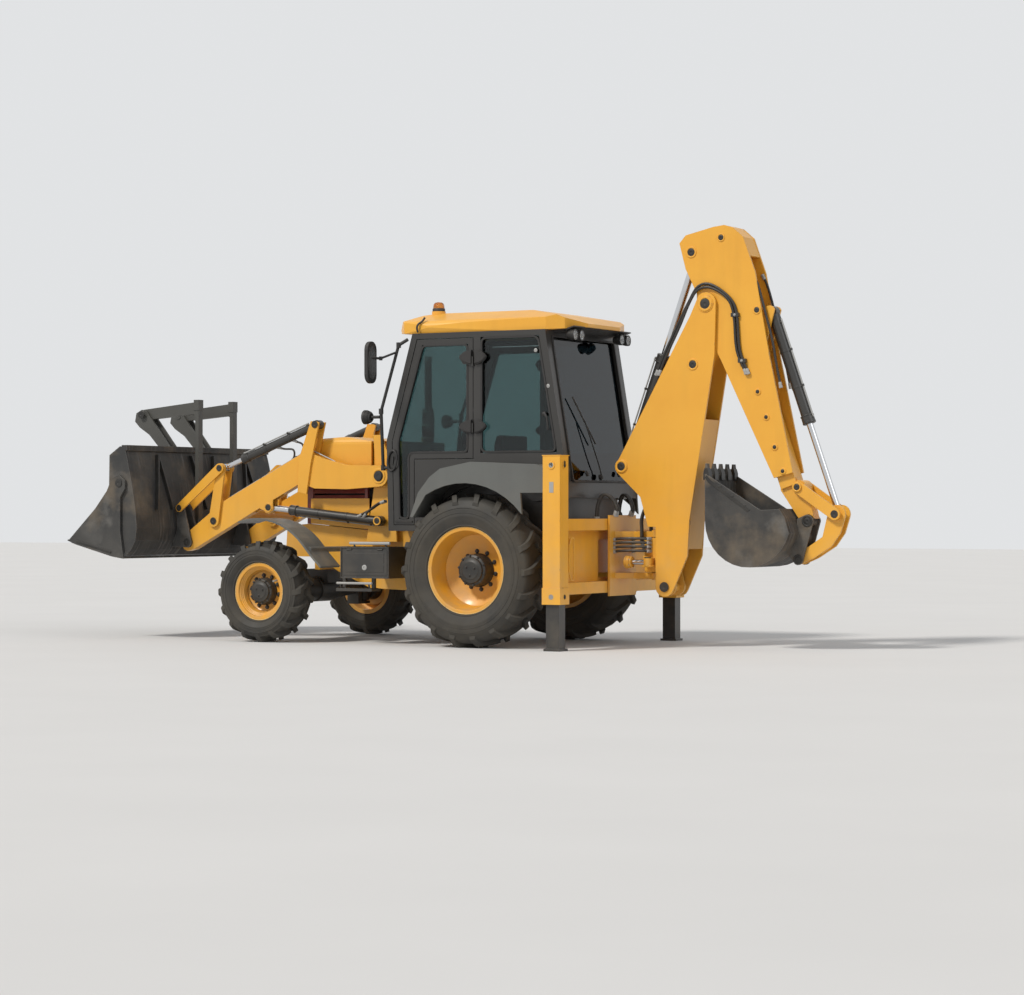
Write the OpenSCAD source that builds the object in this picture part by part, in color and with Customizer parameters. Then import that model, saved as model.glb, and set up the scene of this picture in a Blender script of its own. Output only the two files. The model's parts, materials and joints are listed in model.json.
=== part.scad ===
// Backhoe loader: front loader with a clam shovel and pallet forks, side-shift backhoe with an
// extending dipper, vertical stabiliser legs. Millimetres. X forward, Y to the machine's left, Z up.
// Places are measured from the ground below the rear axle, then moved so that the model's overall
// box is centred on the origin.

/* [Wheels] */
// Distance between the axles
wheelbase = 2170; // [2100:10:2240]
// Rear tyre: outer radius at the lug tips
rear_tyre_r = 665; // [650:5:690]
// Rear tyre: section width
rear_tyre_w = 430; // [400:5:440]
// Rear rim: radius of its flange
rear_rim_r = 376; // [340:2:390]
// Rear wheels: distance between the tyres' middle planes
rear_track = 1770; // [1760:10:1840]
// Rear tyre: lugs in each of its two rows
rear_lugs = 18; // [14:1:22]
// Front tyre: outer radius at the lug tips
front_tyre_r = 455; // [435:5:475]
// Front tyre: section width
front_tyre_w = 310; // [290:5:320]
// Front rim: radius of its flange
front_rim_r = 258; // [240:2:270]
// Front wheels: distance between the tyres' middle planes
front_track = 1800; // [1780:10:1860]
// Front tyre: lugs in each of its two rows
front_lugs = 16; // [12:1:20]
// Height of the lugs above the carcass
lug_h = 32; // [20:1:40]
// Width of a lug at its tip
lug_w = 46; // [36:1:56]
// Half the distance between the steering pivots
kingpin_y = 735; // [720:5:745]

/* [Chassis] */
// Half the width over the frame rails
rail_y = 360; // [340:5:370]
// Thickness of the frame rails
rail_t = 30; // [15:1:40]
// Thickness of plates that carry pins
plate_t = 20; // [12:1:24]

/* [Cab] */
// Half the width of the cab at the doors
cab_y = 680; // [660:5:700]
// Thickness of a cab wall or door
cab_t = 50; // [40:1:60]
// Height of the underside of the cab floor
cab_floor_z = 1000; // [980:5:1010]
// Height of the underside of the roof
roof_z = 2740; // [2700:5:2780]
// Height of the roof's crown above its underside
roof_h = 212; // [180:2:240]
// Thickness of a window pane
glass_t = 8; // [5:1:12]
// Gap between a door and its frame
door_gap = 6; // [5:1:10]

/* [Loader] */
// Loader arm: outer face from the middle of the machine
arm_y = 520; // [515:1:530]
// Loader arm: width of its box
arm_w = 80; // [70:1:84]
// Half the width of the shovel
shovel_y = 1175; // [1120:5:1180]
// Thickness of the shovel's sheets
shovel_t = 20; // [14:1:24]
// Half the distance between the two forks
fork_y = 280; // [240:5:320]
// Width of a fork
fork_w = 65; // [50:1:80]

/* [Backhoe] */
// Boom: half its width over the side plates
boom_y = 155; // [145:1:165]
// Dipper: half its width over the side plates
dipper_y = 122; // [116:1:128]
// Extending dipper: half its width
slide_y = 84; // [76:1:90]
// Extending dipper: depth of its box
slide_d = 150; // [130:5:160]
// Bucket: half its width
bucket_y = 300; // [250:5:310]
// Thickness of the bucket's sheets
bucket_t = 18; // [12:1:22]
// Teeth on the bucket
bucket_teeth = 5; // [4:1:6]

/* [Stabilisers] */
// Half the overall width over the leg tubes
frame_y = 1180; // [1150:5:1200]
// Leg tube: size along the machine
tube_x = 164; // [150:2:180]
// Leg tube: size across the machine
tube_y = 150; // [140:2:170]
// Leg tube: wall
tube_t = 13; // [8:1:16]
// Clearance between the leg and its tube
leg_gap = 7; // [5:1:10]

/* [Fits] */
// Radial clearance of a pin in its bore
pin_gap = 0.5; // [0.3:0.1:1]
// Clearance beside a piece that turns between two plates
side_gap = 6; // [5:0.5:8]

/* [Hidden] */
$fn = 48;
// Overall reach from the rear axle, which sets the origin
front_reach = 4204;
rear_reach = 3087;
origin_x = (front_reach - rear_reach) / 2;

// Pins of the loader, as [x, z] from the ground below the rear axle
arm_pin = [1213, 1489];
lift_base_pin = [1228, 1087];
lift_eye_pin = [2405, 1208];
back_lever_top = [1883, 1961];
back_lever_mid = [1985, 1633];
back_lever_low = [2019, 1365];
tilt_lever_pin = [3000, 1084];
tilt_lever_top = [2918, 1572];
shovel_pin = [3300, 885];
shovel_link_pin = [3375, 1204];
clam_pin = [3612, 1433];
fork_shaft = [3640, 1690];
fork_hook = [3963, 2088];
fork_heel = [3355, 2160];

// Pins of the backhoe
slew_x = -1300;
boom_pin = [-1454, 523];
boom_ram_base = [-1415, 800];
boom_ram_eye = [-1723, 2424];
dipper_pin = [-1842, 2945];
dipper_ram_base = [-1039, 1563];
dipper_ram_eye = [-1693, 3393];
bucket_ram_base = [-2403, 2866];
bucket_ram_eye = [-3008, 1150];
lever_pin = [-2674, 1377];
bucket_pin = [-2751, 1091];
bucket_link_pin = [-2666, 769];
// The extending dipper slides along this line: a point on it and its angle
slide_origin = [-2551, 1478];
slide_angle = 251;

// Places what is drawn from the rear axle into the model's own frame
module placed() translate([-origin_x, 0, 0]) children();

// A flat outline in X and Z, thick from y0 to y1
module slab(y0, y1) rotate([90, 0, 0]) translate([0, 0, -y1]) linear_extrude(y1 - y0) children();

// A plate with the outline pts, thick from y0 to y1
module plate(pts, y0, y1) slab(y0, y1) polygon(pts);

// A round bar along Y through the point p = [x, z]
module bar_y(p, r, y0, y1) translate([p[0], y0, p[1]]) rotate([-90, 0, 0]) cylinder(r = r, h = y1 - y0);

// Draws its children on the left and mirrored on the right
module both_sides() {
  children();
  mirror([0, 1, 0]) children();
}

function arc(c, r, a0, a1, n = 8) =
  [for (i = [0:n]) let (a = a0 + (a1 - a0) * i / n) [c[0] + r * cos(a), c[1] + r * sin(a)]];

// Outline of a bar with round ends of radius rp at p and rq at q
function bar_outline(p, rp, q, rq, n = 8) =
  let (d = q - p, a = atan2(d[1], d[0]), b = acos((rp - rq) / norm(d)))
  concat(arc(p, rp, a + b, a + 360 - b, n), arc(q, rq, a - b, a + b, n));

// A bar with round ends and a bore at each end that is named in bores
module link_bar(p, rp, q, rq, y0, y1, bores) difference() {
  plate(bar_outline(p, rp, q, rq), y0, y1);
  for (b = bores) bar_y(b[0], b[1], y0 - 1, y1 + 1);
}

// A strip of constant thickness along points
function strip(pts, t) =
  let (n = len(pts),
    dirs = [for (i = [0:n - 1]) let (d = pts[min(i + 1, n - 1)] - pts[max(i - 1, 0)]) d / norm(d)],
    left = [for (i = [0:n - 1]) pts[i] + [-dirs[i][1], dirs[i][0]] * t / 2],
    right = [for (i = [n - 1:-1:0]) pts[i] - [-dirs[i][1], dirs[i][0]] * t / 2])
  concat(left, right);

// Turns X onto the line from p to q, at p and at the side y
module along(p, q, y = 0) translate([p[0], y, p[1]])
  rotate([0, -atan2(q[1] - p[1], q[0] - p[0]), 0]) children();

// A ram's barrel: an eye at the base, the tube, and a hole for the rod
module ram_barrel(p, q, y, gland, r, rod_r, eye_r, eye_w, pin_r) along(p, q, y) difference() {
  union() {
    rotate([90, 0, 0]) cylinder(r = eye_r, h = eye_w, center = true);
    translate([eye_r * 0.6, 0, 0]) rotate([0, 90, 0]) cylinder(r = r, h = gland - eye_r * 0.6 - 60);
    translate([gland - 70, 0, 0]) rotate([0, 90, 0]) cylinder(r = r + 6, h = 70);
  }
  rotate([90, 0, 0]) cylinder(r = pin_r + pin_gap, h = max(eye_w, 2 * r) + 2, center = true);
  translate([eye_r + 15, 0, 0]) rotate([0, 90, 0]) cylinder(r = rod_r + pin_gap, h = gland);
}

// A ram's rod: an eye at q and the rod back into the barrel
module ram_rod(p, q, y, rod_len, rod_r, eye_r, eye_w, pin_r) along(q, p, y) difference() {
  union() {
    rotate([90, 0, 0]) cylinder(r = eye_r, h = eye_w, center = true);
    translate([eye_r * 0.5, 0, 0]) rotate([0, 90, 0]) cylinder(r = rod_r, h = rod_len - eye_r * 0.5);
  }
  rotate([90, 0, 0]) cylinder(r = pin_r + pin_gap, h = eye_w + 2, center = true);
}

// A bar with twelve sides between two points in space
module rail_rod(p, q, r) let (d = q - p) translate(p)
  rotate([0, acos(d[2] / norm(d)), atan2(d[1], d[0])]) cylinder(r = r, h = norm(d), $fn = 12);

// Wheels

module wheel_at(x, y, z) translate([x, y, z]) rotate([-90, 0, 0]) children();

module tyre(r, w, rim_r) {
  bead_r = rim_r - 24;
  bead_w = w / 2 - 55;
  carcass = r - lug_h;
  half = [[bead_r, bead_w], [rim_r + 2, bead_w], [rim_r + 8, bead_w + 26],
    [rim_r + (r - rim_r) * 0.28, w / 2 - 5], [rim_r + (r - rim_r) * 0.5, w / 2],
    [rim_r + (r - rim_r) * 0.74, w / 2 - 8], [carcass - 12, w / 2 - 32], [carcass - 3, w / 2 - 90],
    [carcass, 0]];
  other = [for (i = [len(half) - 2:-1:0]) [half[i][0], -half[i][1]]];
  rotate_extrude($fn = 72) polygon(concat(half, other));
}

// Outline of one lug, seen from outside the tread: it swings back from the middle to the shoulder
function lug_outline(side, w, n = 2) =
  let (mid = [for (i = [0:n]) let (t = i / n) [side * (t * (w / 2 + 8) - 8), -0.4 * w * t * (1 - 0.22 * t)]],
    half = [for (i = [0:n]) [0, lug_w * (0.5 + 0.12 * i / n)]])
  concat([for (i = [0:n]) mid[i] - half[i]], [for (i = [n:-1:0]) mid[i] + half[i]]);

// One lug, standing on the carcass: its outline, cut to a chamfered shoulder
module lug(r, w, side) intersection() {
  translate([r - lug_h - 22, 0, 0]) rotate([0, 90, 0]) linear_extrude(lug_h + 22) polygon(lug_outline(side, w));
  rotate([-90, 0, 0]) translate([0, 0, -w / 2]) linear_extrude(w)
    polygon([for (q = [[r - lug_h - 22, -10], [r, -10], [r - 14, w / 2 - 70], [r - 23, w / 2 - 22],
      [r - lug_h - 20, w / 2], [r - lug_h - 22, w / 2]]) [q[0], side * q[1]]]);
}

module lugs(r, w, n) for (side = [-1, 1], k = [0:n - 1])
  rotate([0, 0, (k + (side > 0 ? 0.5 : 0)) * 360 / n]) lug(r, w, side);

// Rim, dished disc and hub in one turning; out is the hub's outer end, in_end its inner end
module rim(rim_r, w, dish, hub_r, out, in_end, shaft_r) {
  bead_r = rim_r - 24;
  b = bead_r - 14;
  bead_w = w / 2 - 55;
  step = (bead_w - 8 - dish - 60) / 3;
  rotate_extrude($fn = 72) polygon(concat([[0, out], [hub_r * 0.5, out], [hub_r * 0.55, out - 6],
    [hub_r * 0.72, out - 10], [hub_r * 0.76, out - 26], [hub_r - 18, out - 34], [hub_r - 12, out - 46],
    [hub_r - 12, dish + 40], [hub_r, dish + 24], [hub_r, dish + 4],
    [hub_r + (b - hub_r) * 0.45, dish + 14], [b - 36, dish + 52]],
    [for (i = [2:-1:0], e = [0.5, 0.3]) [b - 9 * i - (e == 0.5 ? 9 : 0), bead_w - 8 - step * (i + e)]],
    [[b, bead_w + 6], [rim_r - 5, bead_w + 12], [rim_r, bead_w + 11],
    [rim_r, bead_w], [bead_r, bead_w], [bead_r, -bead_w], [rim_r, -bead_w], [rim_r, -bead_w - 12],
    [b, -bead_w - 12], [b, dish + 20], [b - 40, dish + 34], [hub_r + (b - hub_r) * 0.45, dish - 4],
    [hub_r, dish - 14],
    [hub_r, in_end], [shaft_r + pin_gap, in_end], [shaft_r + pin_gap, in_end + 60], [0, in_end + 60]]));
}

rear_shaft_r = 60;
front_shaft_r = 45;
rear_hub_in = -170;
front_hub_in = -95;

module rear_tyre() color("#222324") { tyre(rear_tyre_r, rear_tyre_w, rear_rim_r); lugs(rear_tyre_r, rear_tyre_w, rear_lugs); }
module rear_rim() color("#d99a1b") rim(rear_rim_r, rear_tyre_w, -70, 150, 95, rear_hub_in, rear_shaft_r);
module front_tyre() color("#222324") { tyre(front_tyre_r, front_tyre_w, front_rim_r); lugs(front_tyre_r, front_tyre_w, front_lugs); }
module front_rim() color("#d99a1b") rim(front_rim_r, front_tyre_w, 0, 128, 110, front_hub_in, front_shaft_r);

module rear_tyre_left() placed() wheel_at(0, rear_track / 2, rear_tyre_r) rear_tyre();
module rear_rim_left() placed() wheel_at(0, rear_track / 2, rear_tyre_r) rear_rim();
module rear_tyre_right() mirror([0, 1, 0]) rear_tyre_left();
module rear_rim_right() mirror([0, 1, 0]) rear_rim_left();
module front_tyre_left() placed() wheel_at(wheelbase, front_track / 2, front_tyre_r) front_tyre();
module front_rim_left() placed() wheel_at(wheelbase, front_track / 2, front_tyre_r) front_rim();
module front_tyre_right() mirror([0, 1, 0]) front_tyre_left();
module front_rim_right() mirror([0, 1, 0]) front_rim_left();

// Axles

kingpin_r = 32;
yoke_z = 130;

rear_tube_r = 88;
seat_gap = 0.3;

module rear_axle() placed() color("#1f2021") {
  hub_y = rear_track / 2 + rear_hub_in;
  both_sides() {
    wheel_at(0, 150, rear_tyre_r) cylinder(r1 = 150, r2 = rear_tube_r, h = rail_y - rail_t - 150);
    wheel_at(0, rail_y - rail_t, rear_tyre_r) cylinder(r = rear_tube_r, h = hub_y - 40 - rail_y + rail_t);
    wheel_at(0, hub_y - 40, rear_tyre_r) cylinder(r = 140, h = 39);
    wheel_at(0, hub_y - 1, rear_tyre_r) cylinder(r = rear_shaft_r, h = 55);
  }
  wheel_at(0, -150, rear_tyre_r) cylinder(r = 190, h = 300);
}

module front_axle() placed() color("#1f2021") {
  wheel_at(wheelbase, -130, front_tyre_r) cylinder(r = 115, h = 260);
  both_sides() {
    wheel_at(wheelbase, 130, front_tyre_r) cylinder(r1 = 105, r2 = 62, h = 420);
    translate([wheelbase - 62, 548, front_tyre_r - yoke_z - 25]) cube([124, 62, 2 * yoke_z + 50]);
    for (z = [front_tyre_r - yoke_z - 25, front_tyre_r + yoke_z]) difference() {
      union() {
        translate([wheelbase - 62, 600, z]) cube([124, kingpin_y - 600, 25]);
        translate([wheelbase, kingpin_y, z]) cylinder(r = 62, h = 25);
      }
      translate([wheelbase, kingpin_y, z - 1]) cylinder(r = kingpin_r + pin_gap, h = 27);
    }
  }
  translate([wheelbase - 130, -90, front_tyre_r + 60]) cube([260, 180, 125]);
}

module knuckle_left() placed() color("#1f2021") {
  hub_y = front_track / 2 + front_hub_in;
  translate([wheelbase, kingpin_y, front_tyre_r - yoke_z - 20]) cylinder(r = kingpin_r, h = 2 * yoke_z + 40);
  translate([wheelbase, kingpin_y, front_tyre_r - yoke_z + side_gap])
    cylinder(r = 55, h = 2 * (yoke_z - side_gap));
  wheel_at(wheelbase, kingpin_y, front_tyre_r) cylinder(r = 80, h = hub_y - kingpin_y - 1);
  wheel_at(wheelbase, hub_y - 2, front_tyre_r) cylinder(r = front_shaft_r, h = 57);
}
module knuckle_right() mirror([0, 1, 0]) knuckle_left();

// Chassis and what is fixed to it

rail_outline = [[-800, 480], [-800, 1000], [0, 1000], [1380, 1000], [2060, 1060], [2300, 1040], [2320, 760],
  [2040, 760], [1900, 720], [1750, 630], [1400, 480], [300, 440]];
tower_y = arm_y - arm_w - 12;
engine_low = 760;
tow_x = 2375;
tow_t = 30;
tow_r = 18;
tie_r = 25;
tie_at = [900, 800];

module chassis() placed() color("#e8a41c") {
  both_sides() {
    difference() {
      plate(rail_outline, rail_y - rail_t, rail_y);
      bar_y([0, rear_tyre_r], rear_tube_r + seat_gap, rail_y - rail_t - 1, rail_y + 1);
    }
    plate([[1080, 900], [1400, 900], [1330, 1330], [1300, 1560], [1330, 1860], [1250, 1860], [1110, 1560],
      [1100, 1300]], tower_y - 25, tower_y);
    translate([1100, rail_y, 900]) cube([280, tower_y - 25 - rail_y, 90]);
    bar_y(arm_pin, 35, tower_y, arm_y + 14);
    bar_y(lift_base_pin, 28, tower_y, arm_y + 4);
  }
  for (x = [-800, 700, 1960]) translate([x, -rail_y + rail_t, 640]) cube([60, 2 * (rail_y - rail_t), 350]);
  translate([2020, -rail_y + rail_t, 765]) cube([300, 2 * (rail_y - rail_t), 40]);
  difference() {
    translate([2320, -60, 765]) cube([100, 120, tow_t]);
    translate([tow_x, 0, 764]) cylinder(r = tow_r, h = tow_t + 2);
  }
  translate([1060, -370, 1000]) cube([50, 740, 20]);
  both_sides() translate([1060, 350, 1020]) cube([300, 20, 760]);
  translate([1060, -370, 1780]) cube([300, 740, 20]);
}

module engine_block() placed() color("#2a2b2d") translate([1120, -240, engine_low]) cube([800, 480, 640]);

grille_y = 340;
louvre_y = grille_y + 5;
louvre_x = [1420, 2070];

module grille() placed() color("#17181a") {
  translate([2040, -grille_y, 1062]) cube([30, 2 * grille_y, 400]);
  for (z = [1090:45:1440]) translate([2070, -grille_y + 20, z]) cube([14, 2 * (grille_y - 20), 20]);
}

// Louvred sides of the engine bay, each with its slats between two posts that stand on the rails
module louvres() placed() color("#7d2a20") both_sides() {
  translate([louvre_x[1] - 60, grille_y + seat_gap, 1060.3]) cube([60, louvre_y + 30 - grille_y - seat_gap, 408]);
  translate([louvre_x[0], louvre_y + 2, 1006.5]) cube([30, 30, 462]);
  for (z = [1075:65:1430]) translate([louvre_x[0] + 20, louvre_y + 24, z]) rotate([25, 0, 0])
    cube([louvre_x[1] - louvre_x[0] - 50, 8, 52]);
}

hood_hinge = [1372, 1806];

module hood() placed() color("#e8a41c") {
  bar_y(hood_hinge, 9, -300, 300);
  hood_shell();
}
module hood_shell() difference() {
  intersection() {
    plate(concat([[1366, 1500], [1366, 1806]], [[1481, 1822], [1676, 1850], [1888, 1836]],
      arc([1960, 1700], 125, 80, 0, 6), [[2085, 1470], [1990, 1470]]), -400, 400);
    rotate([90, 0, 90]) linear_extrude(3000)
      polygon(concat([[-400, 1300], [400, 1300]], arc([330, 1780], 70, 0, 90, 5), arc([-330, 1780], 70, 90, 180, 5)));
  }
  plate([[1300, 1400], [1300, 1780], [1676, 1826], [1880, 1810], [2000, 1770], [2062, 1690], [2062, 1400]], -378, 378);
}

module rear_fenders() placed() color("#33363a") both_sides() {
  outline = [[520, 1124], [440, 1330], [330, 1460], [228, 1530], [-70, 1586], [-700, 1560], [-790, 1540]];
  low = [[-790, 1330], [-560, 1330]];
  arch = concat(arc([0, rear_tyre_r], arch_r, 140, 60, 10), [[500, 1124]]);
  plate(strip(outline, 22), cab_y + 6, 1100);
  plate(concat(outline, low, arch), 1078, 1100);
}

module front_fenders() placed() color("#33363a") both_sides() {
  hub = [wheelbase, front_tyre_r];
  plate(strip(concat(arc(hub, 650, 72, 140, 10), [[1600, 790], [1490, 680]]), 18), 735, 1050);
  bar_y([1640, 834], 24, rail_y, 1000);
}

module side_boxes() placed() color("#33363a") {
  both_sides() {
    difference() {
      translate([810, 560, 585]) cube([500, 440, 275]);
      translate([820, 570, 595]) cube([480, 431, 255]);
    }
    translate([820.3, 980, 595.3]) cube([479.4, 12, 254.4]);
    translate([830, rail_y, 640]) cube([60, 200, 60]);
    translate([1220, rail_y, 640]) cube([60, 200, 60]);
    translate([985, 850, 470]) cube([370, 150, 25]);
    for (x = [1000, 1300]) translate([x, 900, 495]) cube([30, 30, 90]);
  }
}

// Cab

a_foot = [1010, 1000];
a_knee = [1030, 1800];
a_top = [763, 2740];
c_top = [-570, 2740];
c_low = [-774, 1526];
c_foot = [-774, 1290];
b_x = 140;
door_low_x = 740;
door_sill_z = 1050;
door_step_z = 1630;
door_hinge = [142, 692];
header_z = 2690;
arch_r = 750;
cab_in = cab_y - cab_t;
screen_low_z = 1330;
rear_sill_z = 1430;
quarter_low_z = 1680;

function door_outline(g) = [[door_low_x + g, door_sill_z + g], [a_foot[0] - 55 - g, door_sill_z + g],
  [a_knee[0] - 55 - g, a_knee[1] - 10], [a_top[0] - 45 - g, header_z - g], [b_x + g, header_z - g],
  [b_x + g, door_step_z + g], [door_low_x + g, door_step_z + g]];

quarter_window = [[b_x - 70, quarter_low_z], [b_x - 70, header_z], [c_top[0] + 60, header_z],
  [c_low[0] + 85, quarter_low_z]];

// A band along the front of the cab, from d1 to d2 behind its face
function front_band(d1, d2, z1, z2) =
  let (top_x = function (z, d) a_top[0] - d + (a_top[1] - z) * (a_knee[0] - a_top[0]) / (a_top[1] - a_knee[1]))
  [[a_foot[0] - d2, z1], [a_foot[0] - d1, z1], [a_knee[0] - d1, a_knee[1]], [top_x(z2, d1), z2],
  [top_x(z2, d2), z2], [a_knee[0] - d2, a_knee[1]]];

// A band along the back of the cab, from d1 to d2 inside its face
function rear_band(d1, d2, z1, z2) =
  let (back_x = function (z, d) c_top[0] + d + (c_top[1] - z) * (c_low[0] - c_top[0]) / (c_top[1] - c_low[1]))
  [[c_foot[0] + d1, z1], [c_foot[0] + d2, z1], [c_low[0] + d2, c_low[1]], [back_x(z2, d2), z2],
  [back_x(z2, d1), z2], [c_low[0] + d1, c_low[1]]];

module cab_frame() placed() color("#141516") {
  both_sides() difference() {
    plate(concat([a_foot, a_knee, a_top, c_top, c_low, c_foot, [-690, c_foot[1]]],
      arc([0, rear_tyre_r], arch_r, 128, 32, 12), [[640, a_foot[1]]]), cab_in, cab_y);
    plate(door_outline(0), cab_in - 1, cab_y + 1);
    plate(quarter_window, cab_in - 1, cab_y + 1);
  }
  both_sides() plate([[-600, 1020], [-600, 1440], [560, 1440], [660, 1020]], cab_in - 20, cab_in);
  difference() {
    plate(front_band(0, cab_t, cab_floor_z, a_top[1]), -cab_in, cab_in);
    translate([500, -cab_in + 40, screen_low_z]) cube([700, 2 * (cab_in - 40), header_z - screen_low_z]);
  }
  difference() {
    plate(rear_band(0, cab_t, c_foot[1], c_top[1]), -cab_in, cab_in);
    translate([-900, -cab_in + 50, rear_sill_z]) cube([500, 2 * (cab_in - 50), header_z - rear_sill_z]);
  }
  plate([[-724, c_foot[1]], [-724, c_foot[1] + 30], [-570, c_foot[1] + 30], [-570, cab_floor_z + 20],
    [-600, cab_floor_z + 20], [-600, c_foot[1]]], -cab_in, cab_in);
  translate([-600, -cab_in, cab_floor_z]) cube([a_foot[0] - cab_t + 610, 2 * cab_in, 20]);
}

module door_left() placed() color("#141516") {
  difference() {
    plate(door_outline(door_gap), cab_in, cab_y);
    plate(door_outline(door_gap + 50), cab_in - 1, cab_y + 1);
  }
  for (z = [1900, 2480]) {
    plate([[b_x + 6, z - 34], [b_x + 96, z - 22], [b_x + 112, z], [b_x + 96, z + 22], [b_x + 6, z + 34]],
      cab_y - 1, cab_y + 14);
    translate([door_hinge[0], door_hinge[1], z - 42]) cylinder(r = 11.7, h = 84);
  }
  plate([for (t = [0:30:330]) [924 + 22 * cos(t), 1600 + 40 * sin(t)]], cab_y - 1, cab_y + 12);
}
module door_right() mirror([0, 1, 0]) door_left();
module door_glass_left() placed() color("#9fb8b4", 0.4)
  plate(door_outline(door_gap + 50), cab_y - cab_t / 2 - glass_t / 2, cab_y - cab_t / 2 + glass_t / 2);
module door_glass_right() mirror([0, 1, 0]) door_glass_left();

module cab_glass() placed() color("#9fb8b4", 0.4) {
  mid = cab_t / 2;
  both_sides() plate(quarter_window, cab_y - mid - glass_t / 2, cab_y - mid + glass_t / 2);
  plate(front_band(mid - glass_t / 2, mid + glass_t / 2, screen_low_z, header_z), -cab_in + 40, cab_in - 40);
  plate(rear_band(mid - glass_t / 2, mid + glass_t / 2, rear_sill_z, header_z), -cab_in + 50, cab_in - 50);
}

// The roof's outside, made smaller by t on every side but the underside
module roof_form(t) intersection() {
  plate([[-560, roof_z], [-700, roof_z + 8], [-790 + t, roof_z + 30], [-790 + t, roof_z + 60 - t],
    [-640 + t, roof_z + 130 - t], [-300, roof_z + roof_h * 0.9 - t], [60, roof_z + roof_h - t],
    [450, roof_z + roof_h * 0.98 - t], [760, roof_z + roof_h * 0.8 - t], [900 - t, roof_z + roof_h * 0.5 - t],
    [950 - t, roof_z + 40], [930 - t, roof_z + 8], [800 - t, roof_z]], -cab_y - 10, cab_y + 10);
  rotate([90, 0, 90]) translate([0, 0, -1500]) linear_extrude(3000) polygon(concat(
    [[-cab_y + 20 + t, roof_z], [cab_y - 20 - t, roof_z]], arc([cab_y - 70, roof_z + 50], 70 - t, 0, 60, 4),
    [[cab_y - 230, roof_z + roof_h * 0.88 - t], [0, roof_z + roof_h + 6 - t], [-cab_y + 230, roof_z + roof_h * 0.88 - t]],
    arc([-cab_y + 70, roof_z + 50], 70 - t, 120, 180, 4)));
  translate([0, 0, roof_z - 1]) linear_extrude(roof_h + 10) polygon([[-700, -560], [-560, -650], [600, -cab_y],
    [860, -cab_y + 20], [950, -cab_y + 120], [960, 0], [950, cab_y - 120], [860, cab_y - 20], [600, cab_y],
    [-560, 650], [-700, 560], [-790, 300], [-795, 0], [-790, -300]]);
}

module roof() placed() color("#e8a41c") {
  difference() {
    roof_form(0);
    intersection() {
      roof_form(25);
      translate([-480, -560, roof_z + 20]) cube([1200, 1120, roof_h]);
    }
  }
  translate([beacon_at[0], beacon_at[1], roof_z + 150]) cylinder(r = 62, h = beacon_z - roof_z - 150);
}

module seat() placed() color("#222222") {
  translate([250, -130, 1020]) cube([260, 260, 130]);
  translate([150, -250, 1150]) cube([480, 500, 120]);
  plate([[150, 1270], [230, 1270], [180, 1850], [100, 1850]], -230, 230);
  both_sides() translate([200, 252, 1400]) cube([320, 60, 50]);
}

module controls() placed() color("#222222") {
  translate([830, -220, 1020]) cube([100, 440, 300]);
  plate([[830, 1320], [900, 1320], [790, 1640], [750, 1620]], -45, 45);
  translate([760, 0, 1650]) rotate([0, -22, 0]) rotate_extrude() translate([180, 0]) circle(r = 16, $fn = 16);
  translate([760, 0, 1650]) rotate([0, -22, 0]) translate([0, 0, -12]) cylinder(r = 40, h = 24);
  for (a = [90, 210, 330]) translate([760, 0, 1650]) rotate([0, -22, 0]) rotate([0, 0, a]) translate([30, -10, -6])
    cube([150, 20, 12]);
  both_sides() translate([-380, 150, 1020]) cube([120, 150, 420]);
  both_sides() translate([-320, 225, 1440]) cylinder(r = 14, h = 200);
}

beacon_at = [640, 430];
beacon_z = roof_z + 206;

module lamps() placed() color("#c9ccd0") {
  translate([beacon_at[0], beacon_at[1], beacon_z])
    rotate_extrude() polygon(concat([[0, 0], [56, 0], [56, 28]], arc([0, 30], 52, 10, 75, 5), [[0, 30 + 52 * sin(75)]]));
  both_sides() {
    for (y = [380, 500]) {
      translate([-775, y, roof_z - 45]) rotate([0, 90, 0]) cylinder(r = 48, h = 85);
      translate([-706, y - 10, roof_z - 6]) cube([16, 20, 13]);
    }
    translate([1091.8, 694, 2010]) rotate([0, 90, 0]) cylinder(r = 14, h = 98);
    translate([1180, 694, 2010]) rotate([0, 90, 0]) cylinder(r1 = 50, r2 = 66, h = 70);
  }
}

rail_foot = [1090, 640, 1560];
rail_knee = [1075, 700, 2060];
rail_top = [880, 720, 2640];
rail_end = [800, cab_y + 14.3, 2690];

module mirrors() placed() color("#141516") both_sides() {
  rail_rod([1025, rail_foot[1], rail_foot[2]], rail_foot, 14);
  rail_rod(rail_foot, rail_knee, 15);
  rail_rod(rail_knee, rail_top, 14);
  rail_rod(rail_top, rail_end, 15);
  rail_rod([900, 718, 2580], [985, 850, 2520], 10);
  rail_rod([985, 850, 2520], [1010, 960, 2520], 11);
  for (p = [rail_foot, rail_knee, rail_top]) translate(p - [0, 0, 24]) cylinder(r = 21, h = 48, $fn = 10);
  translate([985, 850, 2503]) cylinder(r = 16, h = 34, $fn = 10);
  translate([1005, 960, 2480]) rotate([0, 90, 0]) linear_extrude(34)
    polygon(concat(arc([-110, 0], 75, 90, 270, 8), arc([110, 0], 75, -90, 90, 8)));
}

exhaust_at = [1210, -330];

module exhaust() placed() color("#17181a") {
  translate([exhaust_at[0], exhaust_at[1], 1800]) cylinder(r = 52, h = 320);
  translate([exhaust_at[0], exhaust_at[1], 2120]) cylinder(r = 34, h = 480);
}

// Rear frame, legs and backhoe

leg_x = -822 - tube_x;
tube_top = 1641;
boss_h = 6;
pad_boss_z = [455, 1560];
tube_low = 391;
rail_h = 100;
rail_low_z = 470;
rail_top_z = 1010;

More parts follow.
